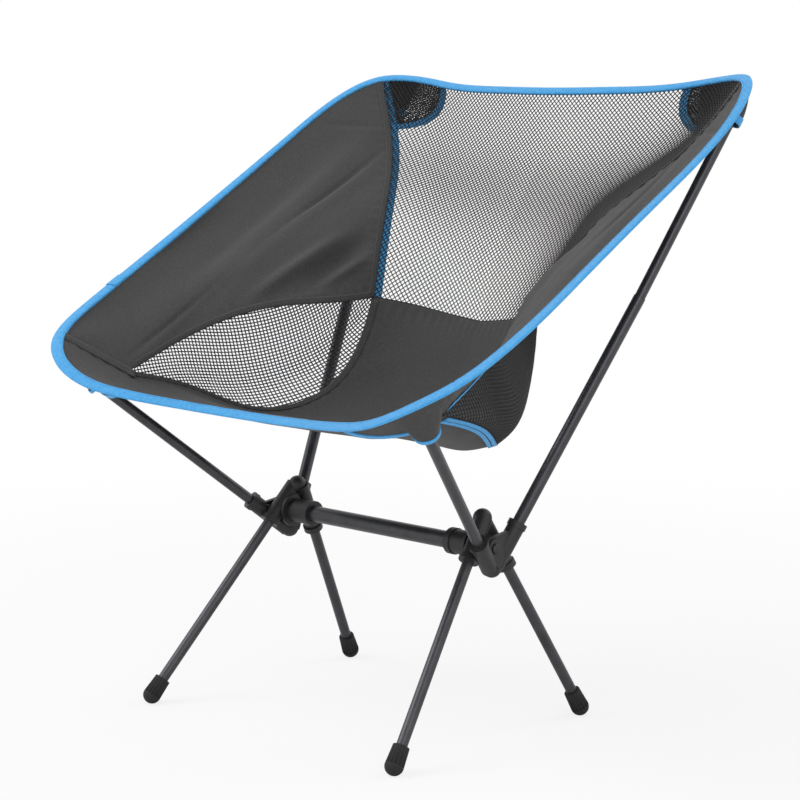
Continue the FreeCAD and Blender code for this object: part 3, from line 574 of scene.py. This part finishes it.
# %% [markdown]
# ## Seat and side panels
# These are the solid cloth. Hung by its corners, the cloth pulls tight between them, so long soft
# folds run from each front corner towards the back, and the sewn edges gather into small puckers.
# The folds are raised in code on a fine grid, because a cloth simulation would change the outline.
#
# %% A cloth panel
def edge_gaps(way, u, v, points):
    """Distance (mm) of each point from the four edges of its panel: west, east, south, north."""
    ends = [way(np.zeros_like(u), v), way(np.ones_like(u), v), way(u, np.zeros_like(v)), way(u, np.ones_like(v))]
    return [np.linalg.norm(points - end, axis=1) for end in ends]


def cloth_panel(name, way, cells, flat_mm, shape, side=1):
    """A sewn cloth panel; shape(points, u, v, gaps) says how far it stands into the bowl (mm)."""
    bm, shares = flat_grid(*cells)
    u, v = shares[:, 0], shares[:, 1]
    points = way(u, v)
    raised = points + into_bowl(way, u, v) * shape(points, u, v, edge_gaps(way, u, v, points))[:, None]
    lay_out(bm, to_side(raised, side), shares * np.array(flat_mm))
    if side < 0:
        bmesh.ops.reverse_faces(bm, faces=bm.faces)
    panel = new_object(name, bm, cloth_finish)
    thicken(panel, 0.9)
    return panel


# %% Where the cloth folds
FOLDS_SIDE = [                     # first point, last point, half width and height of each fold (mm)
    ((231, -137, 352), (206, 216, 561), 3.6, -5.0), ((222, -120, 356), (200, 200, 540), 9, 5.5),
    ((186, -9, 406), (162, 107, 469), 8, 7.5), ((159, 40, 417), (143, 131, 470), 12, -8.5),
    ((148, 56, 417), (135, 115, 448), 6, 5.0), ((233, 11, 451), (228, 221, 579), 17, 5.5),
    ((220, -104, 363), (209, 11, 440), 9, -4.5), ((274, 56, 500), (288, -60, 443), 18, -2.5),
    ((281, 180, 587), (219, 233, 584), 4, -1.6), ((250, -60, 410), (240, 150, 540), 13, -3.0),
    ((170, -5, 406), (140, 60, 410), 4, 2.0)]
FOLDS_SEAT = [
    ((216, -120, 338), (120, -60, 300), 11, 3.5), ((205, -95, 326), (90, 20, 300), 14, -3.0),
    ((180, -40, 300), (60, 110, 350), 12, 2.5), ((150, -180, 325), (60, -60, 300), 18, 2.0)]


def side_shape(points, u, v, gaps):
    west, east, south, north = gaps
    rise = sum(ridge(points, *fold) for fold in FOLDS_SIDE) + 1.1 * ripple(points, 46, 3)
    rise += pucker(north, points[:, 1]) + pucker(east, points[:, 2], pitch=9.0) + 0.6 * pucker(south, points[:, 1], 5)
    return rise * np.minimum(1, np.minimum(north, south) / 10 + 0.15) * np.minimum(1, east / 8)


def seat_shape(points, u, v, gaps):
    west, east, south, north = gaps
    mirrored = np.abs(points[:, 0])[:, None] * (1, 0, 0) + points * (0, 1, 1)
    rise = sum(ridge(mirrored, *fold) for fold in FOLDS_SEAT) + 1.6 * ripple(points, 60, 8)
    rise += pucker(np.minimum(east, west), points[:, 1]) + pucker(north, points[:, 0], pitch=9.0)
    rise += 0.6 * pucker(south, points[:, 0], 5)
    ends = np.minimum(np.minimum(east, west), np.minimum(south, north))
    return rise * np.minimum(1, ends / 9 + 0.05)


# %% The three solid panels
SIDE_FLAT, SEAT_FLAT = (420.0, 215.0), (440.0, 345.0)      # mm, as cut
seat_cloth = cloth_panel("seat_cloth", seat_patch, (180, 140), SEAT_FLAT, seat_shape)
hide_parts("seat_panel")
side_cloth = {}
for word, side in SIDES:
    side_cloth[word] = cloth_panel(f"side_cloth_{word}", side_patch, (260, 120), SIDE_FLAT, side_shape, side)
    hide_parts(f"side_panel_{word}")


# %% [markdown]
# ## Nets
# The back and the two pouches low in the sides are an open warp-knit net with holes about 4 mm
# apart. A flat grid of that pitch is turned to the net's angle, trimmed to the panel, laid over the
# same surface as the cloth, and then each of its edges is made into a yarn.
#
# %% A net panel
NET_PITCH, YARN = 3.8, 1.6         # mm


def table(function, count=60):
    """Values of a slow function at evenly spaced shares, read back by interpolation."""
    shares = np.linspace(0, 1, count)
    values = np.array([function(s) for s in shares])
    return lambda s: np.interp(s, shares, values)


def net_panel(name, way, length, width, turn, yarn=YARN, pitch=NET_PITCH, side=1,
              finish=None):
    """Net over way(along, across); length and width(along) are its flat size (mm), turn in degrees."""
    reach = 0.5 * math.hypot(length, max(width(s) for s in np.linspace(0, 1, 20))) + 2 * pitch
    count = int(2 * reach / pitch)
    bm = bmesh.new()
    bmesh.ops.create_grid(bm, x_segments=count, y_segments=count, size=count * pitch / 2)
    bmesh.ops.rotate(bm, verts=bm.verts, matrix=Matrix.Rotation(math.radians(turn), 3, "Z"))

    def shares_of(verts):
        flat = np.array([v.co[:2] for v in verts])
        along = flat[:, 0] / length + 0.5
        across = flat[:, 1] / np.maximum(width(np.clip(along, 0, 1)), 0.5) + 0.5
        return flat, np.stack([along, across], 1)
    bm.faces.ensure_lookup_table()
    bm.verts.ensure_lookup_table()
    flat, shares = shares_of(bm.verts)
    inside = ((shares > 0) & (shares < 1)).all(1)
    outer = [f for f in bm.faces if not any(inside[v.index] for v in f.verts)]
    bmesh.ops.delete(bm, geom=outer, context="FACES")
    bm.verts.ensure_lookup_table()
    bm.verts.index_update()
    flat, shares = shares_of(bm.verts)
    points = way(np.clip(shares[:, 0], 0, 1), np.clip(shares[:, 1], 0, 1))
    lay_out(bm, to_side(points, side), flat)
    bmesh.ops.dissolve_degenerate(bm, edges=bm.edges, dist=0.6 * MM)
    bmesh.ops.triangulate(bm, faces=[f for f in bm.faces if len(f.verts) > 4])
    bmesh.ops.wireframe(bm, faces=bm.faces, thickness=yarn * MM, use_replace=True, use_boundary=True,
                        use_even_offset=False, offset=0)
    return new_object(name, bm, finish or net_finish, smooth=False)


# %% The back net and the side nets
def back_way(along, across):
    return back_patch(across, along)


rows = np.linspace(0, 1, 40)
back_length = length_of(back_patch(np.full(40, 0.5), rows))
back_width = table(lambda v: length_of(back_patch(rows, np.full(40, v))))
back_mesh = net_panel("back_mesh", back_way, back_length, back_width, 45)
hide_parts("back_net")
side_length = length_of(net_patch(rows, np.full(40, 0.5)))
side_width = table(lambda u: length_of(net_patch(np.full(40, u), rows)))
side_mesh = {}
for word, side in SIDES:
    side_mesh[word] = net_panel(f"side_mesh_{word}", net_patch, side_length, side_width, 0, yarn=1.95, side=side)
    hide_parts(f"side_net_{word}")
print("back net", round(back_length), "mm high,", round(float(back_width(1))), "mm wide at the top")


# %% [markdown]
# ## Tapes, seams and thread
# All raw edges are closed with folded blue tape. A tape is a strip swept along a seam: at each step
# a few points across it are placed from the seam's position, the direction into each panel and the
# surface normals there. Stitches are small rounded dashes laid along the same lines.
#
# %% Lines to sew along
def seam_frames(way, line, inner, count, span=(0.0, 1.0)):
    """Along one edge of a patch: points, unit directions into the panel, and normals.

    line(s) and inner(s) give the shares (u, v) on the edge and just inside it."""
    s = np.linspace(span[0], span[1], count)
    u, v = line(s)
    u_in, v_in = inner(s)
    points = way(u, v)
    return points, unit(way(u_in, v_in) - points), into_bowl(way, u, v)


def swept_strip(name, rows, finish, closed_round=False, closed_along=False, side=1, flip_faces=False):
    """A strip through rows of points: rows has shape (steps along, points across, 3)."""
    steps, across = rows.shape[:2]
    bm, shares = flat_grid(across - 1, steps - 1)
    i = np.rint(shares[:, 1] * (steps - 1)).astype(int)
    j = np.rint(shares[:, 0] * (across - 1)).astype(int)
    run_along = np.concatenate([[0], np.cumsum(np.linalg.norm(np.diff(rows.mean(1), axis=0), axis=1))])
    run_across = np.concatenate([[0], np.cumsum(np.linalg.norm(np.diff(rows, axis=1), axis=2).mean(0))])
    lay_out(bm, to_side(rows[i, j], side), np.stack([run_across[j], run_along[i]], 1))
    if closed_round or closed_along:
        bmesh.ops.remove_doubles(bm, verts=bm.verts, dist=0.01 * MM)
    bmesh.ops.recalc_face_normals(bm, faces=bm.faces)
    if flip_faces:
        bmesh.ops.reverse_faces(bm, faces=bm.faces)
    return new_object(name, bm, finish)


def stitches(name, points, normals, finish, pitch=3.4, long=2.3, thick=0.55, side=1):
    """Rounded dashes of thread along a line (mm), sitting on the surface."""
    lengths = np.concatenate([[0], np.cumsum(np.linalg.norm(np.diff(points, axis=0), axis=1))])
    bm = bmesh.new()
    for where in np.arange(pitch / 2, lengths[-1] - pitch / 2, pitch):
        at, ahead = [np.array([np.interp(w, lengths, points[:, k]) for k in range(3)])
                     for w in (where, where + 0.5)]
        up = unit(np.array([np.interp(where, lengths, normals[:, k]) for k in range(3)]))
        forward = unit(ahead - at)
        sideways = unit(np.cross(up, forward))
        up = np.cross(forward, sideways)
        if side < 0:
            at, forward, sideways, up = flipped(at), flipped(forward), flipped(sideways), flipped(up)
        axes = np.stack([forward * long / 2, sideways * thick / 2, up * thick / 2], 1) * MM
        matrix = Matrix.Translation(Vector(in_scene(at))) @ Matrix(axes.tolist()).to_4x4()
        bmesh.ops.create_icosphere(bm, subdivisions=1, radius=1.0, matrix=matrix)
    bmesh.ops.recalc_face_normals(bm, faces=bm.faces)
    return new_object(name, bm, finish)


# %% Edge binding: one length of tape folded over the whole outline
BINDING_STEPS = 520
SPLICE = 0.185                     # share of the way round where the two ends overlap, on the left
PROFILE = [(2.0, 0.0), (2.0, 1.1), (1.6, 1.5), (0.9, 1.65), (0.2, 1.25), (-0.5, 1.6), (-3.2, 1.7),
           (-6.2, 1.6), (-7.6, 1.3), (-8.3, 0.6)]    # (into the cloth from its edge, off its face), mm
TAPE_LEAN = [50, 50, 50, 48, 42, 36, 30, 26, 24, 22, 20, 18, 20, 20, 20, 20]    # degrees at each outline point
TAPE_OUT = [0, 0, 0.5, 1, 2, 3.5, 3, 1.5, 1, 0.5, 0.5, 0.5, 0, 0, 0, 0]     # mm further out, likewise


def rim_frames(knots):
    """Points, directions into the cloth and normals along the whole outline."""
    points = rim_at(knots)
    heading = unit(rim_at(knots, 4.0) - points)
    ahead = rim_at(knots + 0.5) - rim_at(knots - 0.5)
    normal = unit(np.cross(heading, ahead))
    inward = (BOWL_MIDDLE - points)
    return points, heading, np.where((normal * inward).sum(-1, keepdims=True) < 0, -normal, normal)


def tape_frames(knots):
    """The same for the tape, which hinges on the cloth's edge and rolls outwards and down."""
    points, heading, normal = rim_frames(knots)
    near = knots % RIM_WHOLE
    near = np.minimum(near, RIM_WHOLE - near)
    lean = np.radians(np.interp(near, half_knots, TAPE_LEAN))[:, None]
    out = np.interp(near, half_knots, TAPE_OUT)
    leaned = heading * np.cos(lean) + normal * np.sin(lean)
    return points + heading * EDGE_IN, leaned, normal * np.cos(lean) - heading * np.sin(lean), out


def folded_tape(name, knots, grow, closed_along):
    """Folded tape around the edge; grow makes it stand further out than the tape under it."""
    hinge, heading, normal, out = tape_frames(knots)
    side_profile = np.array(PROFILE)
    loop = np.concatenate([side_profile, (side_profile * (1, -1))[::-1]])
    loop = np.concatenate([loop, loop[:1]])
    wave = 0.35 * np.array([noise.noise(Vector((k / 17.0, 3.0, 0.0))) for k in knots])
    folded = loop[:, 0] < -5
    depth = loop[:, 0][None, :] + wave[:, None] * ~folded - (out[:, None] + grow) * folded
    height = loop[:, 1] * (1 + grow / 1.4)
    strip = hinge[:, None] + heading[:, None] * depth[..., None] + normal[:, None] * height[None, :, None]
    return swept_strip(name, strip, tape_finish, closed_round=True, closed_along=closed_along)


binding_knots = RIM_WHOLE * (np.linspace(0, 1, BINDING_STEPS + 1) - SPLICE)
edge_tape = folded_tape("edge_tape", binding_knots, 0.0, closed_along=True)
splice_tape = folded_tape("edge_tape_overlap", RIM_WHOLE * (1 - SPLICE) + np.linspace(-9, 9, 13), 0.7, False)
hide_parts("edge_binding")
for word, face in (("inside", 1), ("outside", -1)):
    hinge, heading, normal, out = tape_frames(RIM_WHOLE * np.linspace(0, 1, 1200))
    line = hinge + heading * 0.2 + normal * face * 1.4
    stitches(f"edge_stitches_{word}", line, normal * face, blue_thread_finish)


# %% Where each seam lies on its two panels
IN = 0.02
COUNT = 90
seams = {
    "back": (seam_frames(side_patch, lambda s: (s * 0 + 1, s), lambda s: (s * 0 + 1 - IN, s), COUNT),
             seam_frames(back_patch, lambda s: (s * 0 + 1, 1 - s), lambda s: (s * 0 + 1 - IN, 1 - s), COUNT)),
    "upper": (seam_frames(side_patch, lambda s: (SIDE_TAB + s * (1 - SIDE_TAB), s * 0 + 1),
                          lambda s: (SIDE_TAB + s * (1 - SIDE_TAB), s * 0 + 1 - IN), COUNT, (0.03, 0.99)),
              seam_frames(net_patch, lambda s: (s, s * 0), lambda s: (s, s * 0 + 3 * IN), COUNT, (0.03, 0.99))),
    "lower": (seam_frames(seat_patch, lambda s: (s * 0 + 1, SEAT_TAB + s * (1 - SEAT_TAB)),
                          lambda s: (s * 0 + 1 - IN, SEAT_TAB + s * (1 - SEAT_TAB)), COUNT, (0.03, 0.99)),
              seam_frames(net_patch, lambda s: (s, s * 0 + 1), lambda s: (s, s * 0 + 1 - 3 * IN), COUNT,
                          (0.03, 0.99))),
    "tab": (seam_frames(seat_patch, lambda s: (s * 0 + 1, s * SEAT_TAB), lambda s: (s * 0 + 1 - IN, s * SEAT_TAB),
                        30, (0.02, 1.0)),
            seam_frames(side_patch, lambda s: (s * SIDE_TAB, s * 0 + 1), lambda s: (s * SIDE_TAB, s * 0 + 1 - IN),
                        30, (0.02, 1.0))),
}


def over_seam(name, seam, out, reach, finish, thick, side, beyond=0.0):
    """A strip over a seam: out is its distance outside the bowl, reach its two edges (mm).

    A negative reach lies on the first panel, a positive one on the second; beyond lengthens its end."""
    (a, a_in, a_up), (b, b_in, b_up) = seam
    rows = []
    for place in np.linspace(reach[0], reach[1], 5):
        on_first = a - a_in * place - a_up * out
        on_second = b + b_in * place - b_up * out
        blend = np.clip(0.5 + place / 2.0, 0, 1)
        rows.append(on_first * (1 - blend) + on_second * blend)
    rows = np.stack(rows, 1)
    if beyond:
        tail = unit(rows[-1] - rows[-3]) * beyond
        rows = np.concatenate([rows, rows[-1:] + tail * 0.5, rows[-1:] + tail])
    strip = swept_strip(name, rows, finish, side=side)
    thicken(strip, thick)
    return strip


TAPES = {"back": [(-4.5, 8.5)], "upper": [(-8.0, 0.0)], "lower": [(-4.2, 0.0), (-9.4, -5.2)]}
FOLDS_OVER = {"back": (-6.5, 0.6), "upper": (-6.5, 1.0), "lower": (-6.5, 1.0), "tab": (-5.0, 5.0)}
trim = {"left": [], "right": []}
for word, side in SIDES:
    for seam_name, seam in seams.items():
        for number, reach in enumerate(TAPES.get(seam_name, []), 1):
            tape = over_seam(f"{seam_name}_tape_{number}_{word}", seam, 1.3, reach, tape_finish, 0.7,
                             side)
            if number == 1:
                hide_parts(f"{seam_name}_seam_tape_{word}")
            trim[word].append(tape)
        beyond = 9.0 if seam_name == "tab" else 0.0
        fold = over_seam(f"{seam_name}_allowance_{word}", seam, -1.0, FOLDS_OVER[seam_name], cloth_finish,
                         0.9, side, beyond)
        trim[word].append(fold)
        a, a_in, a_up = seam[0]
        for row_name, inset in (("outer", 4.4), ("inner", 1.8)):
            trim[word].append(stitches(f"{seam_name}_stitches_{row_name}_{word}", a + a_in * inset + a_up * 1.6,
                                       a_up, thread_finish, pitch=3.2, long=2.3, side=side))
print("seams taped and stitched")


# %% [markdown]
# ## Corner layers
# The top corners take the sitter's weight, so a second layer of net is sewn there on the outside.
# Its free edge curves from the top edge to the back seam and is closed with blue tape, which shows
# through the net in front.
#
# %% Second layer of net in each top corner
CORNER_REACH, CORNER_DROP = 88.0, 58.0     # mm along the top edge and down the seam
PATCH_OUT, PATCH_TAPE_OUT = 1.6, 1.9
whole_width = float(back_width(1))


def corner_at(reach, turn, out):
    """A point of the corner layer: reach 0 to 1 from the corner, turn 0 along the top edge."""
    u = 1 - reach * CORNER_REACH / whole_width * np.cos(turn) - 0.004
    v = 1 - reach * CORNER_DROP / back_length * np.sin(turn) - 0.002
    return back_patch(u, v) - into_bowl(back_patch, u, v) * out


def corner_way(along, across):
    return corner_at(0.03 + 0.85 * across, along * math.pi / 2, PATCH_OUT)


for word, side in SIDES:
    turns = np.linspace(0, math.pi / 2, 40)
    quarter = length_of(corner_at(np.full(40, 0.6), turns, 0))
    layer = net_panel(f"corner_mesh_{word}", lambda a, b: corner_way(a, b), quarter, table(lambda s: length_of(
        corner_at(np.linspace(0.03, 0.88, 10), np.full(10, s * math.pi / 2), 0))), 20, pitch=2.2, yarn=2.1, side=side)
    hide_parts(f"corner_patch_{word}")
    rows_of = np.stack([corner_at(np.full(40, r), turns, PATCH_TAPE_OUT) for r in (0.86, 0.93, 1.0)], 1)
    edge = swept_strip(f"corner_band_{word}", rows_of, tape_finish, side=side)
    thicken(edge, 0.7)
    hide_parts(f"corner_tape_{word}")
    trim[word] += [layer, edge]


# %% [markdown]
# ## Corner pockets
# At each corner the cloth is doubled into a pocket that slips over the end of a pole. Its mouth is
# round and bound in blue, and its sides flatten until they are sewn under the edge tape. It is
# lofted: rings around the pole that grow flat and turn into the line of the edge.
#
# %% A pocket over a pole tip
POCKET_LONG = {"front": 8.0, "rear": 24.0}     # mm from the mouth to the tube's end
RINGS, AROUND = 26, 48


def pole_tip(end):
    """Tip of the right-hand pole (mm) and the pole's direction, from the frame."""
    low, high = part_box(f"tip_cap_{end}_right")
    centre = np.array((low + high) / 2) / MM - SHIFT
    tube_low, tube_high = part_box("pole_front_right" if end == "front" else "pole_rear_upper_right")
    heading = np.array(tube_high - tube_low) / MM
    if end == "front":
        heading = heading * (1, -1, 1)
    return centre, unit(heading)


def pocket_rows(end, grow=0.0, first=0.0, last=1.0, rings=RINGS):
    """Rings of the pocket from its mouth to the edge tape, as (rings, around, 3) points."""
    tip, heading = pole_tip(end)
    knots = np.linspace(0, RIM_WHOLE / 2, 1500)
    rim = rim_at(knots)
    goal = tip + heading * 40
    knot = knots[np.argmin(np.linalg.norm(rim - goal, axis=1))]
    ends = rim_at(np.array([knot - 12, knot + 12]), 0)
    wide_way = unit(ends[1] - ends[0])
    sewn = rim_at(np.array([knot]), 8.0)[0]
    _, _, normal = rim_frames(np.array([knot]))
    normal = normal[0]
    sewn = sewn - normal * 3.2
    mouth = tip - heading * (POCKET_LONG[end] - 5)
    wide_flat = unit(wide_way - heading * (wide_way @ heading))
    thin_flat = np.cross(heading, wide_flat)
    result = []
    for share in np.linspace(first, last, rings):
        ease = share * share * (3 - 2 * share)
        centre = (1 - share) ** 2 * mouth + 2 * share * (1 - share) * (tip + heading * 9) + share ** 2 * sewn
        wide = unit(wide_flat * (1 - ease) + wide_way * ease)
        thin = thin_flat * (1 - ease) + np.cross(unit(sewn - tip), wide_way) * ease
        half_wide = 11.5 * (1 - ease) + 22.0 * ease + grow
        half_thin = 10.5 * (1 - ease) + 1.2 * ease + grow
        angle = np.linspace(0, 2 * np.pi, AROUND + 1)
        crease = 1 + 0.035 * np.sin(5 * angle + 4 * share) * np.sin(np.pi * share)
        ring = centre + (np.cos(angle) * crease)[:, None] * wide * half_wide
        ring = ring + (np.sin(angle) * crease)[:, None] * unit(thin) * half_thin
        result.append(ring)
    return np.array(result)


for word, side in SIDES:
    for end in ("front", "rear"):
        pocket = swept_strip(f"pocket_cloth_{end}_{word}", pocket_rows(end), cloth_finish,
                             closed_round=True, side=side)
        thicken(pocket, 1.0)
        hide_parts(f"pocket_{end}_{word}")
        mouth = swept_strip(f"pocket_mouth_{end}_{word}", pocket_rows(end, 0.9, -0.02, 0.13, 6), tape_finish,
                            closed_round=True, side=side)
        thicken(mouth, 1.0)
        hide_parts(f"pocket_{end}_{word}_tape")
        trim[word] += [pocket, mouth]


# %% [markdown]
# ## Corner wings
# Under each front corner a triangle of cloth carries the pocket's pull along the front edge. One
# side is sewn under the edge tape, and its free edge is bound with narrower blue tape.
#
# %% A wing from the pocket's mouth to the front edge
WING_FROM, WING_TO = 168.0, 238.0  # mm along the outline from the middle of the front edge
WING_TAPE = 4.6                    # mm
for word, side in SIDES:
    tip, heading = pole_tip("front")
    mouth = tip - heading * (POCKET_LONG["front"] - 5)
    share = np.linspace(0, 1, 40)[:, None]
    rim_points, _, normal = rim_frames(WING_FROM + (WING_TO - WING_FROM) * share[:, 0])
    under = rim_points + rim_heading(WING_FROM + (WING_TO - WING_FROM) * share[:, 0]) * 5 - normal * 4.5
    start = under[0] - (0, 0, 2)
    finish_point = mouth + unit(start - mouth) * 12.5
    sag = (start + finish_point) / 2 + (0, -4, -9)
    free = (1 - share) ** 2 * start + 2 * share * (1 - share) * sag + share ** 2 * finish_point
    wing = swept_strip(f"wing_cloth_{word}", np.stack([free * (1 - t) + under * t for t in np.linspace(0, 1, 7)], 1),
                       cloth_finish, side=side)
    thicken(wing, 0.9)
    across = unit(under - free + (0, 0, 0.01))
    out = np.array((0.0, -1.0, -0.3)) * 0.9
    bound = swept_strip(f"wing_tape_{word}", np.stack([free + across * t + out for t in (-0.6, WING_TAPE / 2, WING_TAPE)], 1),
                        tape_finish, side=side)
    thicken(bound, 1.6)
    trim[word] += [wing, bound]


# %% [markdown]
# Each panel was cut flat before it was sewn, so its flat size and its area are printed here.
#
# %% Flat sizes
def area_of(way, count=60):
    """Area of a patch in square metres."""
    s = np.linspace(0, 1, count)
    grid = way(*np.meshgrid(s, s, indexing="ij")) * MM
    first = np.cross(grid[1:, :-1] - grid[:-1, :-1], grid[:-1, 1:] - grid[:-1, :-1])
    second = np.cross(grid[1:, 1:] - grid[1:, :-1], grid[1:, 1:] - grid[:-1, 1:])
    return float(np.linalg.norm(first, axis=-1).sum() + np.linalg.norm(second, axis=-1).sum()) / 2


def declare(piece, way, flat_mm):
    width, length = flat_mm[0] * MM, flat_mm[1] * MM
    area = min(area_of(way), width * length)
    print(f"{piece.name}: {width:.3f} x {length:.3f} m, {area:.4f} m2")


declare(seat_cloth, seat_patch, SEAT_FLAT)
declare(back_mesh, back_patch, (whole_width, back_length))
for word, side in SIDES:
    declare(side_cloth[word], side_patch, SIDE_FLAT)
    declare(side_mesh[word], net_patch, (side_length, max(side_width(s) for s in rows)))


# %% [markdown]
# ## Floor and light
# A pale floor and a white surround, with one large soft lamp high at the front left, a smaller one
# at the right and a soft sky. The floor fades into the surround so that no horizon shows.
#
# %% Floor
floor_bm = bmesh.new()
bmesh.ops.create_circle(floor_bm, cap_ends=True, segments=96, radius=6.0)
floor_mesh = bpy.data.meshes.new("floor")
floor_bm.to_mesh(floor_mesh)
floor_bm.free()
floor = bpy.data.objects.new("floor", floor_mesh)
bpy.context.scene.collection.objects.link(floor)

floor_finish, tree = new_material("pale_floor")
place = add_node(tree, "ShaderNodeTexCoord")
far = add_node(tree, "ShaderNodeVectorMath", {0: place.outputs["Object"]}, operation="LENGTH")
fade = add_node(tree, "ShaderNodeMapRange", {"Value": far.outputs["Value"], "From Min": 0.5, "From Max": 1.6},
                interpolation_type="SMOOTHSTEP")
matt = add_node(tree, "ShaderNodeBsdfDiffuse", {"Color": linear("#F4F4F4")})
clear = add_node(tree, "ShaderNodeBsdfTransparent")
white = add_node(tree, "ShaderNodeEmission", {"Color": linear("#FFFFFF"), "Strength": 1.0})
path = add_node(tree, "ShaderNodeLightPath")
share = add_node(tree, "ShaderNodeMath", {0: path.outputs["Is Camera Ray"], 1: 0.8}, operation="MULTIPLY")
lit = add_node(tree, "ShaderNodeMixShader", {0: share.outputs[0], 1: matt.outputs[0], 2: white.outputs[0]})
blend = add_node(tree, "ShaderNodeMixShader", {0: fade.outputs["Result"], 1: lit.outputs[0],
                                               2: clear.outputs[0]})
floor_mesh.materials.append(finish_material(floor_finish, blend.outputs[0]))


# %% Sky and lamps
SKY = 0.62
world = bpy.data.worlds.new("studio")
world.use_nodes = True
tree = world.node_tree
tree.nodes.clear()
path = add_node(tree, "ShaderNodeLightPath")
seen = add_node(tree, "ShaderNodeMath", {0: path.outputs["Is Camera Ray"], 1: path.outputs["Is Glossy Ray"]},
                operation="MAXIMUM")
seen = add_node(tree, "ShaderNodeMath", {0: seen.outputs[0], 1: path.outputs["Is Transmission Ray"]},
                operation="MAXIMUM")
level = add_node(tree, "ShaderNodeMapRange", {"Value": seen.outputs[0], "To Min": SKY, "To Max": 1.0})
sky = add_node(tree, "ShaderNodeBackground", {"Color": (1.0, 1.0, 1.0, 1.0), "Strength": level.outputs["Result"]})
add_node(tree, "ShaderNodeOutputWorld", {"Surface": sky.outputs[0]})
bpy.context.scene.world = world

LAMPS = [("key", (-1.3, -1.5, 2.1), 1.4, 26.0), ("fill", (1.9, -0.9, 1.3), 1.0, 8.0),
         ("rim", (0.6, 1.9, 1.8), 1.0, 9.0)]       # name, place (m), side (m), power (W)
target = Vector((0.0, 0.0, 0.35))
for name, location, size, power in LAMPS:
    lamp_data = bpy.data.lights.new(name, "AREA")
    lamp_data.energy = power
    lamp_data.size = size
    lamp = bpy.data.objects.new(name, lamp_data)
    lamp.location = location
    lamp.rotation_euler = (Vector(location) - target).to_track_quat("Z", "Y").to_euler()
    bpy.context.scene.collection.objects.link(lamp)
bpy.context.scene.view_settings.view_transform = "Standard"
print(len(LAMPS), "lamps")
